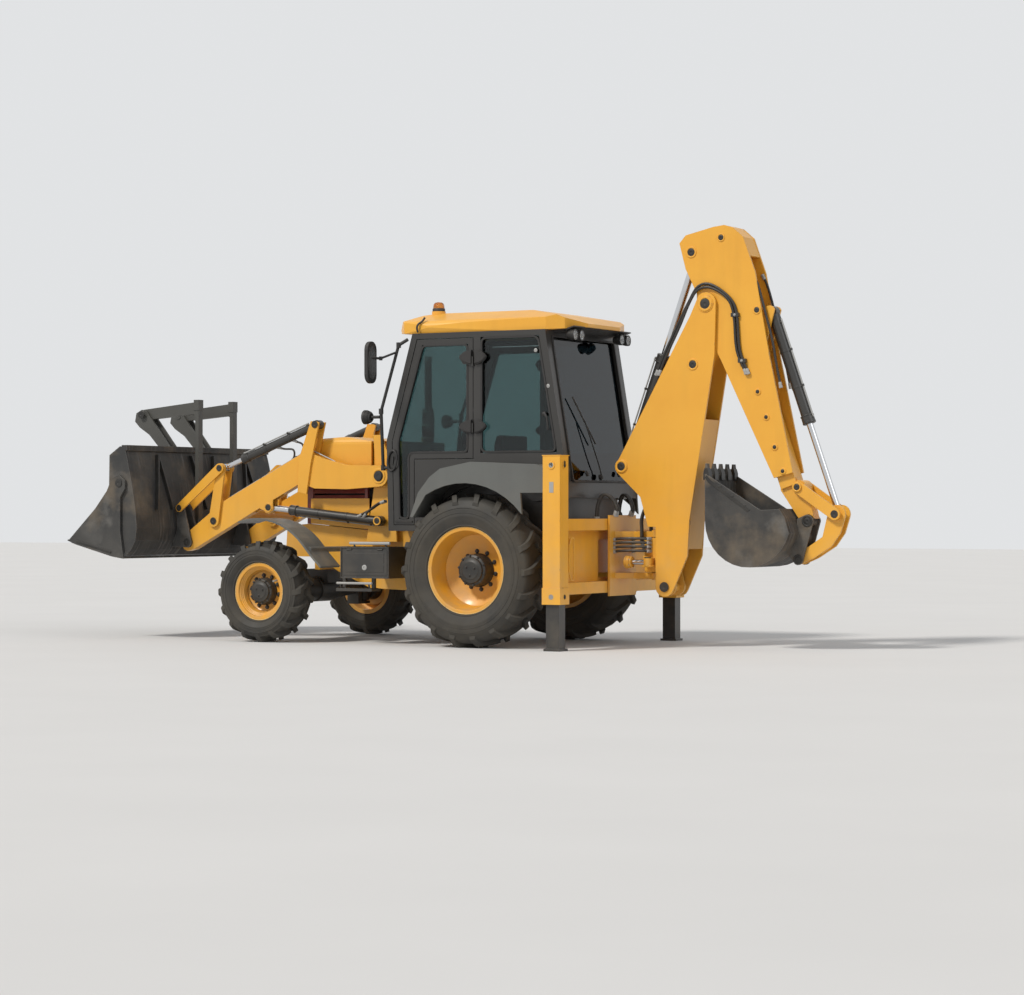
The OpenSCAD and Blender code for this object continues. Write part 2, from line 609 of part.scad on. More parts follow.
module rear_frame() placed() color("#e8a41c") {
  both_sides() difference() {
    union() {
      translate([leg_x, frame_y - tube_y, tube_low]) cube([tube_x, tube_y, tube_top - tube_low]);
      translate([leg_x - 6, frame_y - tube_y - 6, tube_low]) cube([tube_x + 12, tube_y + 12, 140]);
    }
    translate([leg_x + tube_t, frame_y - tube_y + tube_t, tube_low - 1])
      cube([tube_x - 2 * tube_t, tube_y - 2 * tube_t, tube_top - tube_low - tube_t]);
  }
  both_sides() for (x = [leg_x + tube_t, leg_x + tube_x - tube_t - leg_gap + seat_gap], z = [tube_low + 10, tube_low + 500])
    translate([x, frame_y - tube_y + tube_t + 20, z]) cube([leg_gap - seat_gap, tube_y - 2 * tube_t - 40, 80]);
  both_sides() {
    for (z = pad_boss_z) {
      bar_y([leg_x + tube_x / 2, z], 34, frame_y, frame_y + boss_h);
      translate([leg_x - boss_h, frame_y - tube_y / 2, z]) rotate([0, 90, 0]) cylinder(r = 30, h = boss_h);
    }
    translate([leg_x - boss_h, frame_y - tube_y / 2, tube_top - 60]) rotate([0, 90, 0]) cylinder(r = 26, h = boss_h);
    for (z = [690:60:900]) translate([leg_x + 20, frame_y - tube_y - 34, z]) cube([tube_x - 60, 34, 26]);
    translate([leg_x + 10, frame_y - tube_y - 46, 660]) cube([tube_x - 40, 12, 290]);
  }
  for (z = [rail_low_z, rail_top_z]) translate([-950, -frame_y + tube_y, z]) cube([100, 2 * (frame_y - tube_y), rail_h]);
  both_sides() difference() {
    translate([-850, 560, rail_low_z]) cube([plate_t, frame_y - tube_y - 560, rail_top_z + rail_h - rail_low_z]);
    translate([-851, tie_at[0], tie_at[1]]) rotate([0, 90, 0]) cylinder(r = tie_r, h = plate_t + 2);
  }
  difference() {
    translate([-850, -560, rail_low_z]) cube([50, 1120, rail_top_z + rail_h - rail_low_z]);
    translate([-851, -230, rail_low_z + 130]) cube([52, 460, 330]);
  }
}

module leg_left() placed() color("#17181a") {
  inset = tube_t + leg_gap;
  translate([leg_x + inset, frame_y - tube_y + inset, 20]) cube([tube_x - 2 * inset, tube_y - 2 * inset, 1200]);
  translate([leg_x + 4, frame_y - tube_y + 4, 0]) cube([tube_x - 8, tube_y - 8, 20]);
}
module leg_right() mirror([0, 1, 0]) leg_left();

carriage_y = 250;
lug_z = [590, 950];
lug_t = 50;
slew_r = 40;
slew_ring_r = 66;

module carriage() placed() color("#d6951a") {
  translate([-975, -carriage_y, rail_low_z - 30]) cube([20, 2 * carriage_y, rail_top_z + rail_h - rail_low_z + 60]);
  for (z = lug_z) difference() {
    union() {
      translate([0, 0, z]) linear_extrude(lug_t) polygon([[slew_x, -58], [-1110, -58], [-975, -150], [-975, 150],
        [-1110, 58], [slew_x, 58]]);
      translate([slew_x, 0, z]) cylinder(r = slew_ring_r, h = lug_t);
    }
    translate([slew_x, 0, z - 1]) cylinder(r = slew_r + pin_gap, h = lug_t + 2);
  }
  both_sides() translate([-955, 60, 700]) rotate([0, -90, 0]) cylinder(r = 10, h = 10);
}

king_y = 98;
slew_ram_y = 192;
boom_pin_r = 40;
boom_ram_pin_r = 38;

module kingpost() placed() color("#e8a41c") {
  for (z = lug_z) translate([slew_x, 0, z - 10]) cylinder(r = slew_r, h = lug_t + 20);
  translate([slew_x, 0, lug_z[0] + lug_t + side_gap]) cylinder(r = slew_ring_r, h = 50);
  translate([slew_x, 0, lug_z[1] - side_gap - 50]) cylinder(r = slew_ring_r, h = 50);
  both_sides() {
    plate(concat([[-1240, 650], [-1240, 944], [-1360, 944]], arc(boom_ram_base, 58, 90, 180, 4),
      arc(boom_pin, 80, 150, 350, 8), [[-1392, 575], [-1392, 650]]), king_y - 26, king_y);
    bar_y(boom_pin, 70, king_y, boom_in - side_gap);
  }
  plate([[-1236, 652], [-1236, 942], [-1256, 942], [-1256, 652]], -king_y, king_y);
  both_sides() {
    plate([[-1330, 700], [-1256, 690], [-1256, 790], [-1330, 770]], king_y - 1, slew_ram_y - 24);
    translate([-1310, slew_ram_y, 700]) cylinder(r = 34, h = 70);
    plate([[-1350, 695], [-1270, 695], [-1270, 712], [-1350, 712]], king_y - 1, slew_ram_y + 30);
    translate([-1300, slew_ram_y, 735]) rotate([0, 90, 0]) cylinder(r = 20, h = 180);
    translate([-1160, slew_ram_y, 735]) rotate([0, 90, 0]) cylinder(r = 46, h = 62);
    translate([-1150, slew_ram_y, 735]) rotate([0, 90, 0]) cylinder(r = 54, h = 30);
  }
  bar_y(boom_pin, boom_pin_r, -boom_y - 8, boom_y + 8);
  bar_y(boom_ram_base, boom_ram_pin_r, -king_y, king_y);
}

boom_in = boom_y - plate_t;
dipper_pin_r = 42;
dipper_ram_pin_r = 35;

module boom() placed() color("#e8a41c") {
  outline = concat(arc(boom_pin, 86, 200, 360, 6), [[-1368, 915], [-1368, 1040], [-1294, 1040], [-1221, 1297]],
    arc([-1045, 1560], 70, -45, 60, 4), [[-1700, 2850]], arc(dipper_pin, 98, 50, 190, 6),
    [[-1926, 2504], [-1690, 1099], [-1671, 791]]);
  both_sides() difference() {
    plate(outline, boom_in, boom_y);
    bar_y(boom_pin, boom_pin_r + pin_gap, boom_in - 1, boom_y + 1);
  }
  both_sides() bar_y(dipper_pin, dipper_pin_r, boom_in - 40, boom_in);
  both_sides() for (b = [[dipper_pin, 74], [dipper_ram_base, 60]]) bar_y(b[0], b[1], boom_y - 1, boom_y + boss_h);
  bar_y(dipper_ram_base, dipper_ram_pin_r, -boom_y - 6, boom_y + 6);
  plate(strip([[-1240, 1330], [-1445, 1917]], 14), -boom_in, boom_in);
  plate(strip([[-1665, 850], [-1690, 1150], [-1826, 1960]], 14), -boom_in, boom_in);
}

module boom_barrel() placed() color("#2b2d30")
  ram_barrel(boom_ram_base, boom_ram_eye, 0, 1340, 60, 37, 55, 90, boom_ram_pin_r);
module boom_rod() placed() color("#c9ccd0") ram_rod(boom_ram_base, boom_ram_eye, 0, 1380, 37, 56, 80, 35);

dipper_in = dipper_y - plate_t;

wear_pads = [[-2317, 2185], [-2395, 1969], [-2473, 1715], [-2547, 1512]];

module dipper() placed() color("#e8a41c") {
  both_sides() for (p = wear_pads) bar_y(p, 32, slide_y + seat_gap, dipper_in);
  both_sides() difference() {
    plate([[-1581, 3474], [-1640, 3250], [-1745, 3040], [-1752, 2880], [-1800, 2790], [-1982, 2443], [-2464, 1454],
      [-2636, 1500], [-2420, 2500], [-2290, 3200], [-2179, 3505], [-2080, 3590], [-2002, 3612], [-1900, 3600],
      [-1640, 3540]], dipper_in, dipper_y);
    bar_y(dipper_pin, dipper_pin_r + pin_gap, dipper_in - 1, dipper_y + 1);
  }
  plate(strip([[-1850, 2690], [-1988, 2436], [-2466, 1460]], 12), -dipper_in, dipper_in);
  plate(strip([[-1900, 3592], [-2002, 3604], [-2076, 3582], [-2170, 3500], [-2230, 3340]], 14),
    -dipper_in, dipper_in);
}
module dipper_barrel() placed() color("#2b2d30")
  ram_barrel(dipper_ram_base, dipper_ram_eye, 0, 1020, 58, 33, 56, 90, dipper_ram_pin_r);
module dipper_rod() placed() color("#c9ccd0") ram_rod(dipper_ram_base, dipper_ram_eye, 0, 1030, 33, 50, 80, 32);

slide_nose_y = 60;
lever_pin_r = 30;
lever_in = slide_y + 8;
ram_ear_y = 74;

module dipper_slide() placed() color("#e8a41c") {
  along(slide_origin, slide_origin - [cos(slide_angle), sin(slide_angle)])
    translate([-100, -slide_y, -slide_d / 2]) cube([1640, 2 * slide_y, slide_d]);
  difference() {
    plate(concat([[-2500, 1440], [-2500, 1350]], arc(bucket_pin, 58, -32, 160, 6),
      arc(lever_pin + [0, -20], 64, 160, 80, 3), [[-2640, 1460]]), -slide_nose_y, slide_nose_y);
    bar_y(bucket_pin, 35 + pin_gap, -slide_nose_y - 1, slide_nose_y + 1);
  }
  bar_y(lever_pin, 60, -slide_y + 8, slide_y - 8);
  bar_y(lever_pin, lever_pin_r, -lever_in - 30, lever_in + 30);
  both_sides() plate(concat(arc(bucket_ram_base, 50, -20, 160, 6), [[-2290, 2300], [-2240, 2480], [-2330, 2680]]),
    ram_ear_y - 16, ram_ear_y);
  bar_y(bucket_ram_base, 30, -ram_ear_y, ram_ear_y);
}
module bucket_barrel() placed() color("#2b2d30")
  ram_barrel(bucket_ram_base, bucket_ram_eye, 0, 1010, 50, 29, 48, 80, 30);
module bucket_rod() placed() color("#c9ccd0") ram_rod(bucket_ram_base, bucket_ram_eye, 0, 1050, 29, 44, 60, 26);

module bucket_levers() placed() color("#e8a41c") both_sides() {
  link_bar(lever_pin, 50, bucket_ram_eye, 50, lever_in, lever_in + 20, [[lever_pin, lever_pin_r + pin_gap]]);
  bar_y(bucket_ram_eye, 28, 36, lever_in + 20);
}
module bucket_link() placed() color("#e8a41c") both_sides() difference() {
  plate(concat(arc(bucket_ram_eye, rear_reach + bucket_ram_eye[0], 20, 200, 9), [[-3040, 990], [-2960, 880], [-2800, 780]],
    arc(bucket_link_pin, 45, 230, 400, 6), [[-2790, 900], [-2880, 960]]), 40, 60);
  bar_y(bucket_ram_eye, 28 + pin_gap, 39, 61);
}

bucket_c = [-2300, 1095];
bucket_r = 385;
bucket_lip = [-1915, 1489];

module bucket() placed() color("#2a2a2b") {
  shell = concat([[-2580, 1190], [-2630, 1115]], arc(bucket_c, bucket_r, 196, 360, 14), [bucket_lip]);
  plate(strip(shell, bucket_t), -bucket_y, bucket_y);
  both_sides() plate(concat([[-2580, 1190], [-2630, 1115]], arc(bucket_c, bucket_r, 196, 360, 14),
    [bucket_lip, [-2417, 1184]]), bucket_y - bucket_t, bucket_y);
  for (i = [0:bucket_teeth - 1]) translate([bucket_lip[0], -bucket_y + 35 + i * (2 * bucket_y - 70) / (bucket_teeth - 1), bucket_lip[1] - 30])
    plate([[-14, 0], [14, 0], [14, 50], [6, 120], [-4, 120], [-14, 50]], -28, 28);
  both_sides() plate(concat(arc(bucket_pin, 55, 60, 180, 5), arc(bucket_link_pin, 48, 180, 300, 5),
      [[-2560, 830], [-2650, 1000], [-2660, 1110]]), slide_nose_y + 6, slide_nose_y + 24);
  bar_y(bucket_pin, 35, -slide_nose_y - 24, slide_nose_y + 24);
}

// Loader

arm_in = arm_y - arm_w;
arm_mid = arm_y - arm_w / 2;
ear_in = [arm_in - side_gap - plate_t, arm_in - side_gap];
ear_out = [arm_y + side_gap, arm_y + side_gap + plate_t];
link_in = [ear_in[0] - side_gap - 18, ear_in[0] - side_gap];
link_out = [ear_out[1] + side_gap, ear_out[1] + side_gap + 18];
arm_pin_r = 35;
lift_pin_r = 28;
loader_pin_r = 28;

module loader_arms() placed() color("#e8a41c") {
  both_sides() {
    difference() {
      plate(concat(arc(arm_pin, 95, 90, 270, 8), [[1560, 1372], [1900, 1380], [2046, 1431], [2513, 1197], [3240, 820]],
        arc(shovel_pin, 82, -80, 60, 5), [[2910, 1264], [1991, 1722], [1800, 1650], [1560, 1590]]), arm_in, arm_y);
      bar_y(arm_pin, arm_pin_r + pin_gap, arm_in - 1, arm_y + 1);
      bar_y(shovel_pin, loader_pin_r + 4 + pin_gap, arm_in - 1, arm_y + 1);
      plate([[2180, 1280], [2250, 1330], [2420, 1330], [2540, 1270], [2600, 1100], [2200, 1100]], arm_in + 12, arm_y - 12);
    }
    for (y = [arm_in, arm_y - 12]) plate(concat(arc(lift_eye_pin, 55, 150, 330, 6), [[2540, 1215], [2350, 1320]]), y, y + 12);
    bar_y(tilt_lever_pin, loader_pin_r, ear_in[0] - 4, ear_out[1] + 4);
    plate([back_lever_top + [-45, 20], back_lever_top + [45, 30], [2060, 1640], [2070, 1350], [1975, 1330], [1930, 1600]],
      arm_y, arm_y + 20);
    plate([back_lever_top + [-45, 20], back_lever_top + [45, 30], [2060, 1640], [2020, 1500], [1930, 1600]],
      arm_in - 20, arm_in);
    bar_y(back_lever_top, loader_pin_r, arm_in - 20, arm_y + 24);
  }
  bar_y([2800, 1150], 70, -arm_in, arm_in);
}
module lift_barrels() placed() color("#2b2d30") both_sides()
  ram_barrel(lift_base_pin, lift_eye_pin, arm_mid, 960, 40, 27, 46, 60, lift_pin_r);
module lift_rods() placed() color("#c9ccd0") both_sides()
  ram_rod(lift_base_pin, lift_eye_pin, arm_mid, 1000, 27, 42, 44, 25);
module tilt_levers() placed() color("#e8a41c") both_sides() {
  for (e = [ear_in, ear_out]) link_bar(tilt_lever_pin, 55, tilt_lever_top, 45, e[0], e[1],
    [[tilt_lever_pin, loader_pin_r + pin_gap]]);
  bar_y(tilt_lever_top, 24, ear_out[0], link_out[1] + 3);
  bar_y(tilt_lever_top, 24, link_in[0] - 3, ear_in[1]);
}
module tilt_links() placed() color("#e8a41c") both_sides() for (e = [link_in, link_out])
  link_bar(tilt_lever_top, 44, shovel_link_pin, 36, e[0], e[1], [[tilt_lever_top, 24 + pin_gap], [shovel_link_pin, 24]]);
module tilt_barrels() placed() color("#2b2d30") both_sides()
  ram_barrel(back_lever_top, tilt_lever_top, arm_mid, 880, 38, 24, 40, 60, loader_pin_r);
module tilt_rods() placed() color("#c9ccd0") both_sides()
  ram_rod(back_lever_top, tilt_lever_top, arm_mid, 890, 24, 40, 60, 22);

blade_y = shovel_y - 30;

module shovel() placed() color("#2a2a2b") {
  sheet = [[3578, 1760], [3545, 1640], [3490, 1400], [3456, 1200], [3440, 1020], [3455, 910], [3505, 825], [3560, 775]];
  plate(strip(sheet, shovel_t), -blade_y, blade_y);
  both_sides() plate(concat(sheet, [[3600, 850], [3640, 1000], [3690, 1250], [3745, 1400], [3740, 1690], [3620, 1770]]),
    blade_y - 20, blade_y);
  translate([3540, -blade_y, 1731]) cube([60, 2 * blade_y, 50]);
  bar_y(fork_shaft, 30, -blade_y, blade_y);
  both_sides() {
    for (e = [ear_in, ear_out]) plate(concat(arc(shovel_pin, 50, 150, 290, 5), [[3470, 850], [3415, 1000], [3425, 1240]],
      arc(shovel_link_pin, 38, 60, 170, 5)), e[0], e[1]);
    bar_y(shovel_pin, loader_pin_r + 4, ear_in[0], ear_out[1]);
    bar_y(clam_pin, 32, blade_y - 30, shovel_y + 4);
  }
}

module clam() placed() color("#2a2a2b") {
  plate(strip([[3570, 750], [3690, 768], [4120, 880]], shovel_t), -shovel_y, shovel_y);
  plate([[4100, 865], [4204, 903], [4195, 913], [4100, 895]], -shovel_y, shovel_y);
  both_sides() difference() {
    plate([[3560, 740], [3690, 760], [4150, 880], [4190, 905], [3880, 1200], [3749, 1360], [3690, 1480], [3612, 1510],
      [3545, 1460], [3545, 1380], [3600, 1300], [3600, 1000]], blade_y + 6, shovel_y);
    bar_y(clam_pin, 32 + pin_gap, blade_y, shovel_y + 1);
  }
}

fork_hub_r = 30;

// Link plate with a wide hook end: [share of the way to the hook, offset to the front] for each point
hook_plate = [[1, -52], [1.09, -20], [1.12, 50], [1.02, 112], [0.86, 104], [0.62, 62], [0.3, 50]];

module fork_links() placed() color("#2a2a2b") both_sides() {
  way = fork_hook - fork_shaft;
  front = [way[1], -way[0]] / norm(way);
  for (y = [fork_y - fork_w / 2 - 26, fork_y + fork_w / 2 + 6]) difference() {
    plate(concat(arc(fork_shaft, 50, 140, 322, 8), [for (k = [len(hook_plate) - 1:-1:0])
      fork_shaft + way * hook_plate[k][0] + front * hook_plate[k][1]]), y, y + 20);
    bar_y(fork_shaft, 30 + pin_gap, y - 1, y + 21);
  }
  bar_y(fork_hook, fork_hub_r, fork_y - fork_w / 2 - 30, fork_y + fork_w / 2 + 30);
}
module forks() placed() color("#2a2a2b") both_sides() difference() {
  union() {
    plate([fork_heel + [-24, 60], fork_heel + [34, 60], fork_heel + [34, -40], fork_heel + [-24, -40]],
      fork_y - fork_w / 2 - 4, fork_y + fork_w / 2 + 4);
    plate(concat(arc(fork_hook, 50, -100, 80, 6), [fork_heel + [0, 40], fork_heel + [-20, 20], [3335, 1100], [3345, 1063],
      [3365, 1063], [3375, 1100], [3375, 2070], [3390, 2085]]), fork_y - fork_w / 2, fork_y + fork_w / 2);
  }
  bar_y(fork_hook, fork_hub_r + pin_gap, fork_y - fork_w / 2 - 1, fork_y + fork_w / 2 + 1);
}

chassis();
engine_block();
rear_axle();
front_axle();
grille();
louvres();
cab_frame();
cab_glass();
roof();
rear_fenders();
front_fenders();
seat();
controls();
side_boxes();
rear_frame();
lamps();
mirrors();
exhaust();
rear_tyre_left();
rear_rim_left();
rear_tyre_right();
rear_rim_right();
front_tyre_left();
front_rim_left();
front_tyre_right();
front_rim_right();
knuckle_left();
knuckle_right();
door_left();
door_glass_left();
door_right();
door_glass_right();
hood();
leg_left();
leg_right();
loader_arms();
lift_barrels();
lift_rods();
tilt_levers();
tilt_links();
tilt_barrels();
tilt_rods();
shovel();
clam();
fork_links();
forks();
carriage();
kingpost();
boom();
boom_barrel();
boom_rod();
dipper();
dipper_barrel();
dipper_rod();
dipper_slide();
bucket_barrel();
bucket_rod();
bucket_levers();
bucket_link();
bucket();
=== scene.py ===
"""Looks of the backhoe loader: finishes for every part, and the detail that the plain parts lack.

Lengths in this file are millimetres, measured like the parts: X forward from the ground below the rear
axle, Y to the machine's left, Z up. Form.piece() turns them into metres in the frame of the model.
"""

import json
from math import cos, exp, radians, sin, tan, tau

import bmesh
import bpy
from mathutils import Matrix, Vector


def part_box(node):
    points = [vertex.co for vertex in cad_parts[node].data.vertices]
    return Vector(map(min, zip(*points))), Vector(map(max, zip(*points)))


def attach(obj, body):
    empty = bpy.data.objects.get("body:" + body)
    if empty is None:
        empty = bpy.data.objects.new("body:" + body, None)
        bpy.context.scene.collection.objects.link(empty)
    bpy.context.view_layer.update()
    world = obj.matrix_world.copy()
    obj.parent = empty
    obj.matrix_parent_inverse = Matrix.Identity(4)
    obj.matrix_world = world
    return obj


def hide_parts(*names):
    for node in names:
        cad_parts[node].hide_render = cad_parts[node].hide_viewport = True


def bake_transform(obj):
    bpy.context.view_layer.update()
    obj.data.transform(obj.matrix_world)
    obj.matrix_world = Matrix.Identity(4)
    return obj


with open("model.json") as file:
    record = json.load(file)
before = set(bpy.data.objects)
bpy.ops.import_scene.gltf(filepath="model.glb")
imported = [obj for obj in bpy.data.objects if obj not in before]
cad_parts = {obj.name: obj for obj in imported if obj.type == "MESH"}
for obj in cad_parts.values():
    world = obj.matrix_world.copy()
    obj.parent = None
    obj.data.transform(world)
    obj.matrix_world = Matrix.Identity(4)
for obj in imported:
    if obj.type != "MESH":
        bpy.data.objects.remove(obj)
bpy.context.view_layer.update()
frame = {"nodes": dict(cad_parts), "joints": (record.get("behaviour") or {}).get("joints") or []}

MM = 0.001
ORIGIN_X = 558.5
Y_AXIS = Vector((0, 1, 0))
SIDES = (("left", 1), ("right", -1))
JOINTS = {j["name"]: j for j in frame["joints"]}


def pin(joint):
    """The place of a hinge as (x, z) in millimetres from the ground below the rear axle."""
    x, _, z = JOINTS[joint]["pos_m"]
    return (x / MM + ORIGIN_X, z / MM)


def corners(node):
    """Lowest and highest corner of a node, measured the same way."""
    low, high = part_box(node)
    shift = Vector((ORIGIN_X, 0, 0))
    return low / MM + shift, high / MM + shift


def added(name, data):
    """A new object in the scene."""
    obj = bpy.data.objects.new(name, data)
    bpy.context.scene.collection.objects.link(obj)
    return obj


def having(thing, **settings):
    """The thing, with its settings made."""
    for key, value in settings.items():
        setattr(thing, key, value)
    return thing


def turns(n, start=0.0):
    """n angles round a circle, each moved on by start of a step."""
    return [tau * (k + start) / n for k in range(n)]


# Camera

PHOTO_WIDTH = 1024
PHOTO_FOCAL_PIXELS = 2802.6
PHOTO_SHIFT_PIXELS = 2.8
SENSOR_WIDTH = 36
CAMERA_PLACE = (-12121 - ORIGIN_X, 21794, 1179)
CAMERA_YAW = radians(29.355)
CAMERA_PITCH = radians(0.212)

camera = added("camera", having(
    bpy.data.cameras.new("camera"), sensor_width=SENSOR_WIDTH, clip_end=200,
    lens=SENSOR_WIDTH * PHOTO_FOCAL_PIXELS / PHOTO_WIDTH, shift_y=PHOTO_SHIFT_PIXELS / PHOTO_WIDTH))
camera.location = Vector(CAMERA_PLACE) * MM
look = Vector((sin(CAMERA_YAW), -cos(CAMERA_YAW), tan(CAMERA_PITCH)))
camera.rotation_euler = look.to_track_quat("-Z", "Y").to_euler()
bpy.context.scene.camera = camera
bpy.context.scene.view_settings.view_transform = "Standard"


# Building meshes

class Form:
    """Collects the faces of one piece. Each shape takes an index into the piece's list of materials."""

    def __init__(self):
        self.verts = []
        self.faces = []
        self.paints = []

    def add(self, verts, faces, paint=0):
        start = len(self.verts)
        self.verts += [Vector(v) for v in verts]
        self.faces += [tuple(start + i for i in f) for f in faces]
        self.paints += [paint] * len(faces)

    def prism(self, outline, y0, y1, paint=0):
        """An outline of (x, z) points, thick from y0 to y1."""
        n = len(outline)
        verts = [(x, y, z) for y in (y0, y1) for x, z in outline]
        around = [(i, (i + 1) % n, n + (i + 1) % n, n + i) for i in range(n)]
        self.add(verts, around + [tuple(reversed(range(n))), tuple(range(n, 2 * n))], paint)

    def box(self, low, high, paint=0):
        """A box between two corners."""
        (x0, y0, z0), (x1, y1, z1) = low, high
        self.prism([(x0, z0), (x1, z0), (x1, z1), (x0, z1)], y0, y1, paint)

    def turned(self, profile, centre, axis, n=48, paint=0, ends="capped"):
        """Turns (radius, distance along the axis) points round the axis through centre.

        ends is capped, open, or ring where the last point joins the first again.
        """
        axis = Vector(axis).normalized()
        side = axis.orthogonal().normalized()
        up = axis.cross(side)
        centre = Vector(centre)
        verts = []
        for r, a in profile:
            verts += [centre + axis * a + (side * cos(t) + up * sin(t)) * r for t in turns(n)]
        faces = []
        rows = len(profile)
        for i in range(rows if ends == "ring" else rows - 1):
            for k in range(n):
                a, b, up_row = i * n + k, i * n + (k + 1) % n, (i + 1) % rows * n
                faces.append((a, b, up_row + (k + 1) % n, up_row + k))
        for i, order in ((0, reversed(range(n))), (rows - 1, range(n))):
            if ends == "capped" and profile[i][0] > 0:
                faces.append(tuple(i * n + k for k in order))
        self.add(verts, faces, paint)

    def rod(self, p, q, r, n=16, paint=0):
        """A round rod from p to q."""
        p, q = Vector(p), Vector(q)
        self.turned([(r, 0), (r, (q - p).length)], p, q - p, n, paint)

    def bolt(self, place, axis, r=14, h=12, paint=0):
        """A hexagon head on its washer."""
        axis = Vector(axis).normalized()
        self.turned([(r * 1.35, -1), (r * 1.35, h * 0.25)], place, axis, 12, paint)
        self.turned([(r, h * 0.2), (r, h * 0.9), (r * 0.8, h)], place, axis, 6, paint)

    def hose(self, points, r, n=10, steps=5, paint=0):
        """A round tube along a smooth curve through the points."""
        pts = [Vector(p) for p in points]
        ends = [pts[0] * 2 - pts[1]] + pts + [pts[-1] * 2 - pts[-2]]
        line = []
        for a, b, c, d in zip(ends, ends[1:], ends[2:], ends[3:]):
            for k in range(steps):
                t = k / steps
                line.append(0.5 * (2 * b + (c - a) * t + (2 * a - 5 * b + 4 * c - d) * t * t
                                   + (3 * b - a - 3 * c + d) * t ** 3))
        line.append(pts[-1])
        way = (line[1] - line[0]).normalized()
        side = way.orthogonal().normalized()
        verts = []
        for i, p in enumerate(line):
            way = (line[min(i + 1, len(line) - 1)] - line[max(i - 1, 0)]).normalized()
            side = (side - way * side.dot(way)).normalized()
            up = way.cross(side)
            verts += [p + (side * cos(t) + up * sin(t)) * r for t in turns(n)]
        faces = [(i * n + k, i * n + (k + 1) % n, (i + 1) * n + (k + 1) % n, (i + 1) * n + k)
                 for i in range(len(line) - 1) for k in range(n)]
        last = (len(line) - 1) * n
        self.add(verts, faces + [tuple(reversed(range(n))), tuple(range(last, last + n))], paint)

    def piece(self, name, body, slot, finishes, bevel=0.0, sharp=35, stands_for=(), bends=None):
        """Makes the object, in metres in the frame of the model.

        It rides on its body, or with bends it stays where it is and rides on no body; the body and places in bends
        are not used.
        """
        mesh = bpy.data.meshes.new(name)
        shift = Vector((-ORIGIN_X, 0, 0))
        mesh.from_pydata([(v + shift) * MM for v in self.verts], [], self.faces)
        mesh.polygons.foreach_set("material_index", self.paints)
        for finish in finishes:
            mesh.materials.append(finish)
        mesh.validate()
        clean_faces(mesh)
        mesh.polygons.foreach_set("use_smooth", [True] * len(mesh.polygons))
        mesh.set_sharp_from_angle(angle=radians(sharp))
        obj = added(name, mesh)
        if bevel:
            having(obj.modifiers.new("rounded edges", "BEVEL"), width=bevel * MM, segments=2,
                   limit_method="ANGLE", angle_limit=radians(40), harden_normals=True)
        if bends:
            other, start, end = bends
            (Vector(start) + shift) * MM
            (Vector(end) + shift) * MM
            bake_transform(obj)
        else:
            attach(obj, body)
        if stands_for:
            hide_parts(*stands_for)
        return obj


def clean_faces(mesh):
    """Makes the faces of each closed shell point outwards."""
    bm = bmesh.new()
    bm.from_mesh(mesh)
    bmesh.ops.recalc_face_normals(bm, faces=bm.faces)
    bm.to_mesh(mesh)
    bm.free()


# Finishes

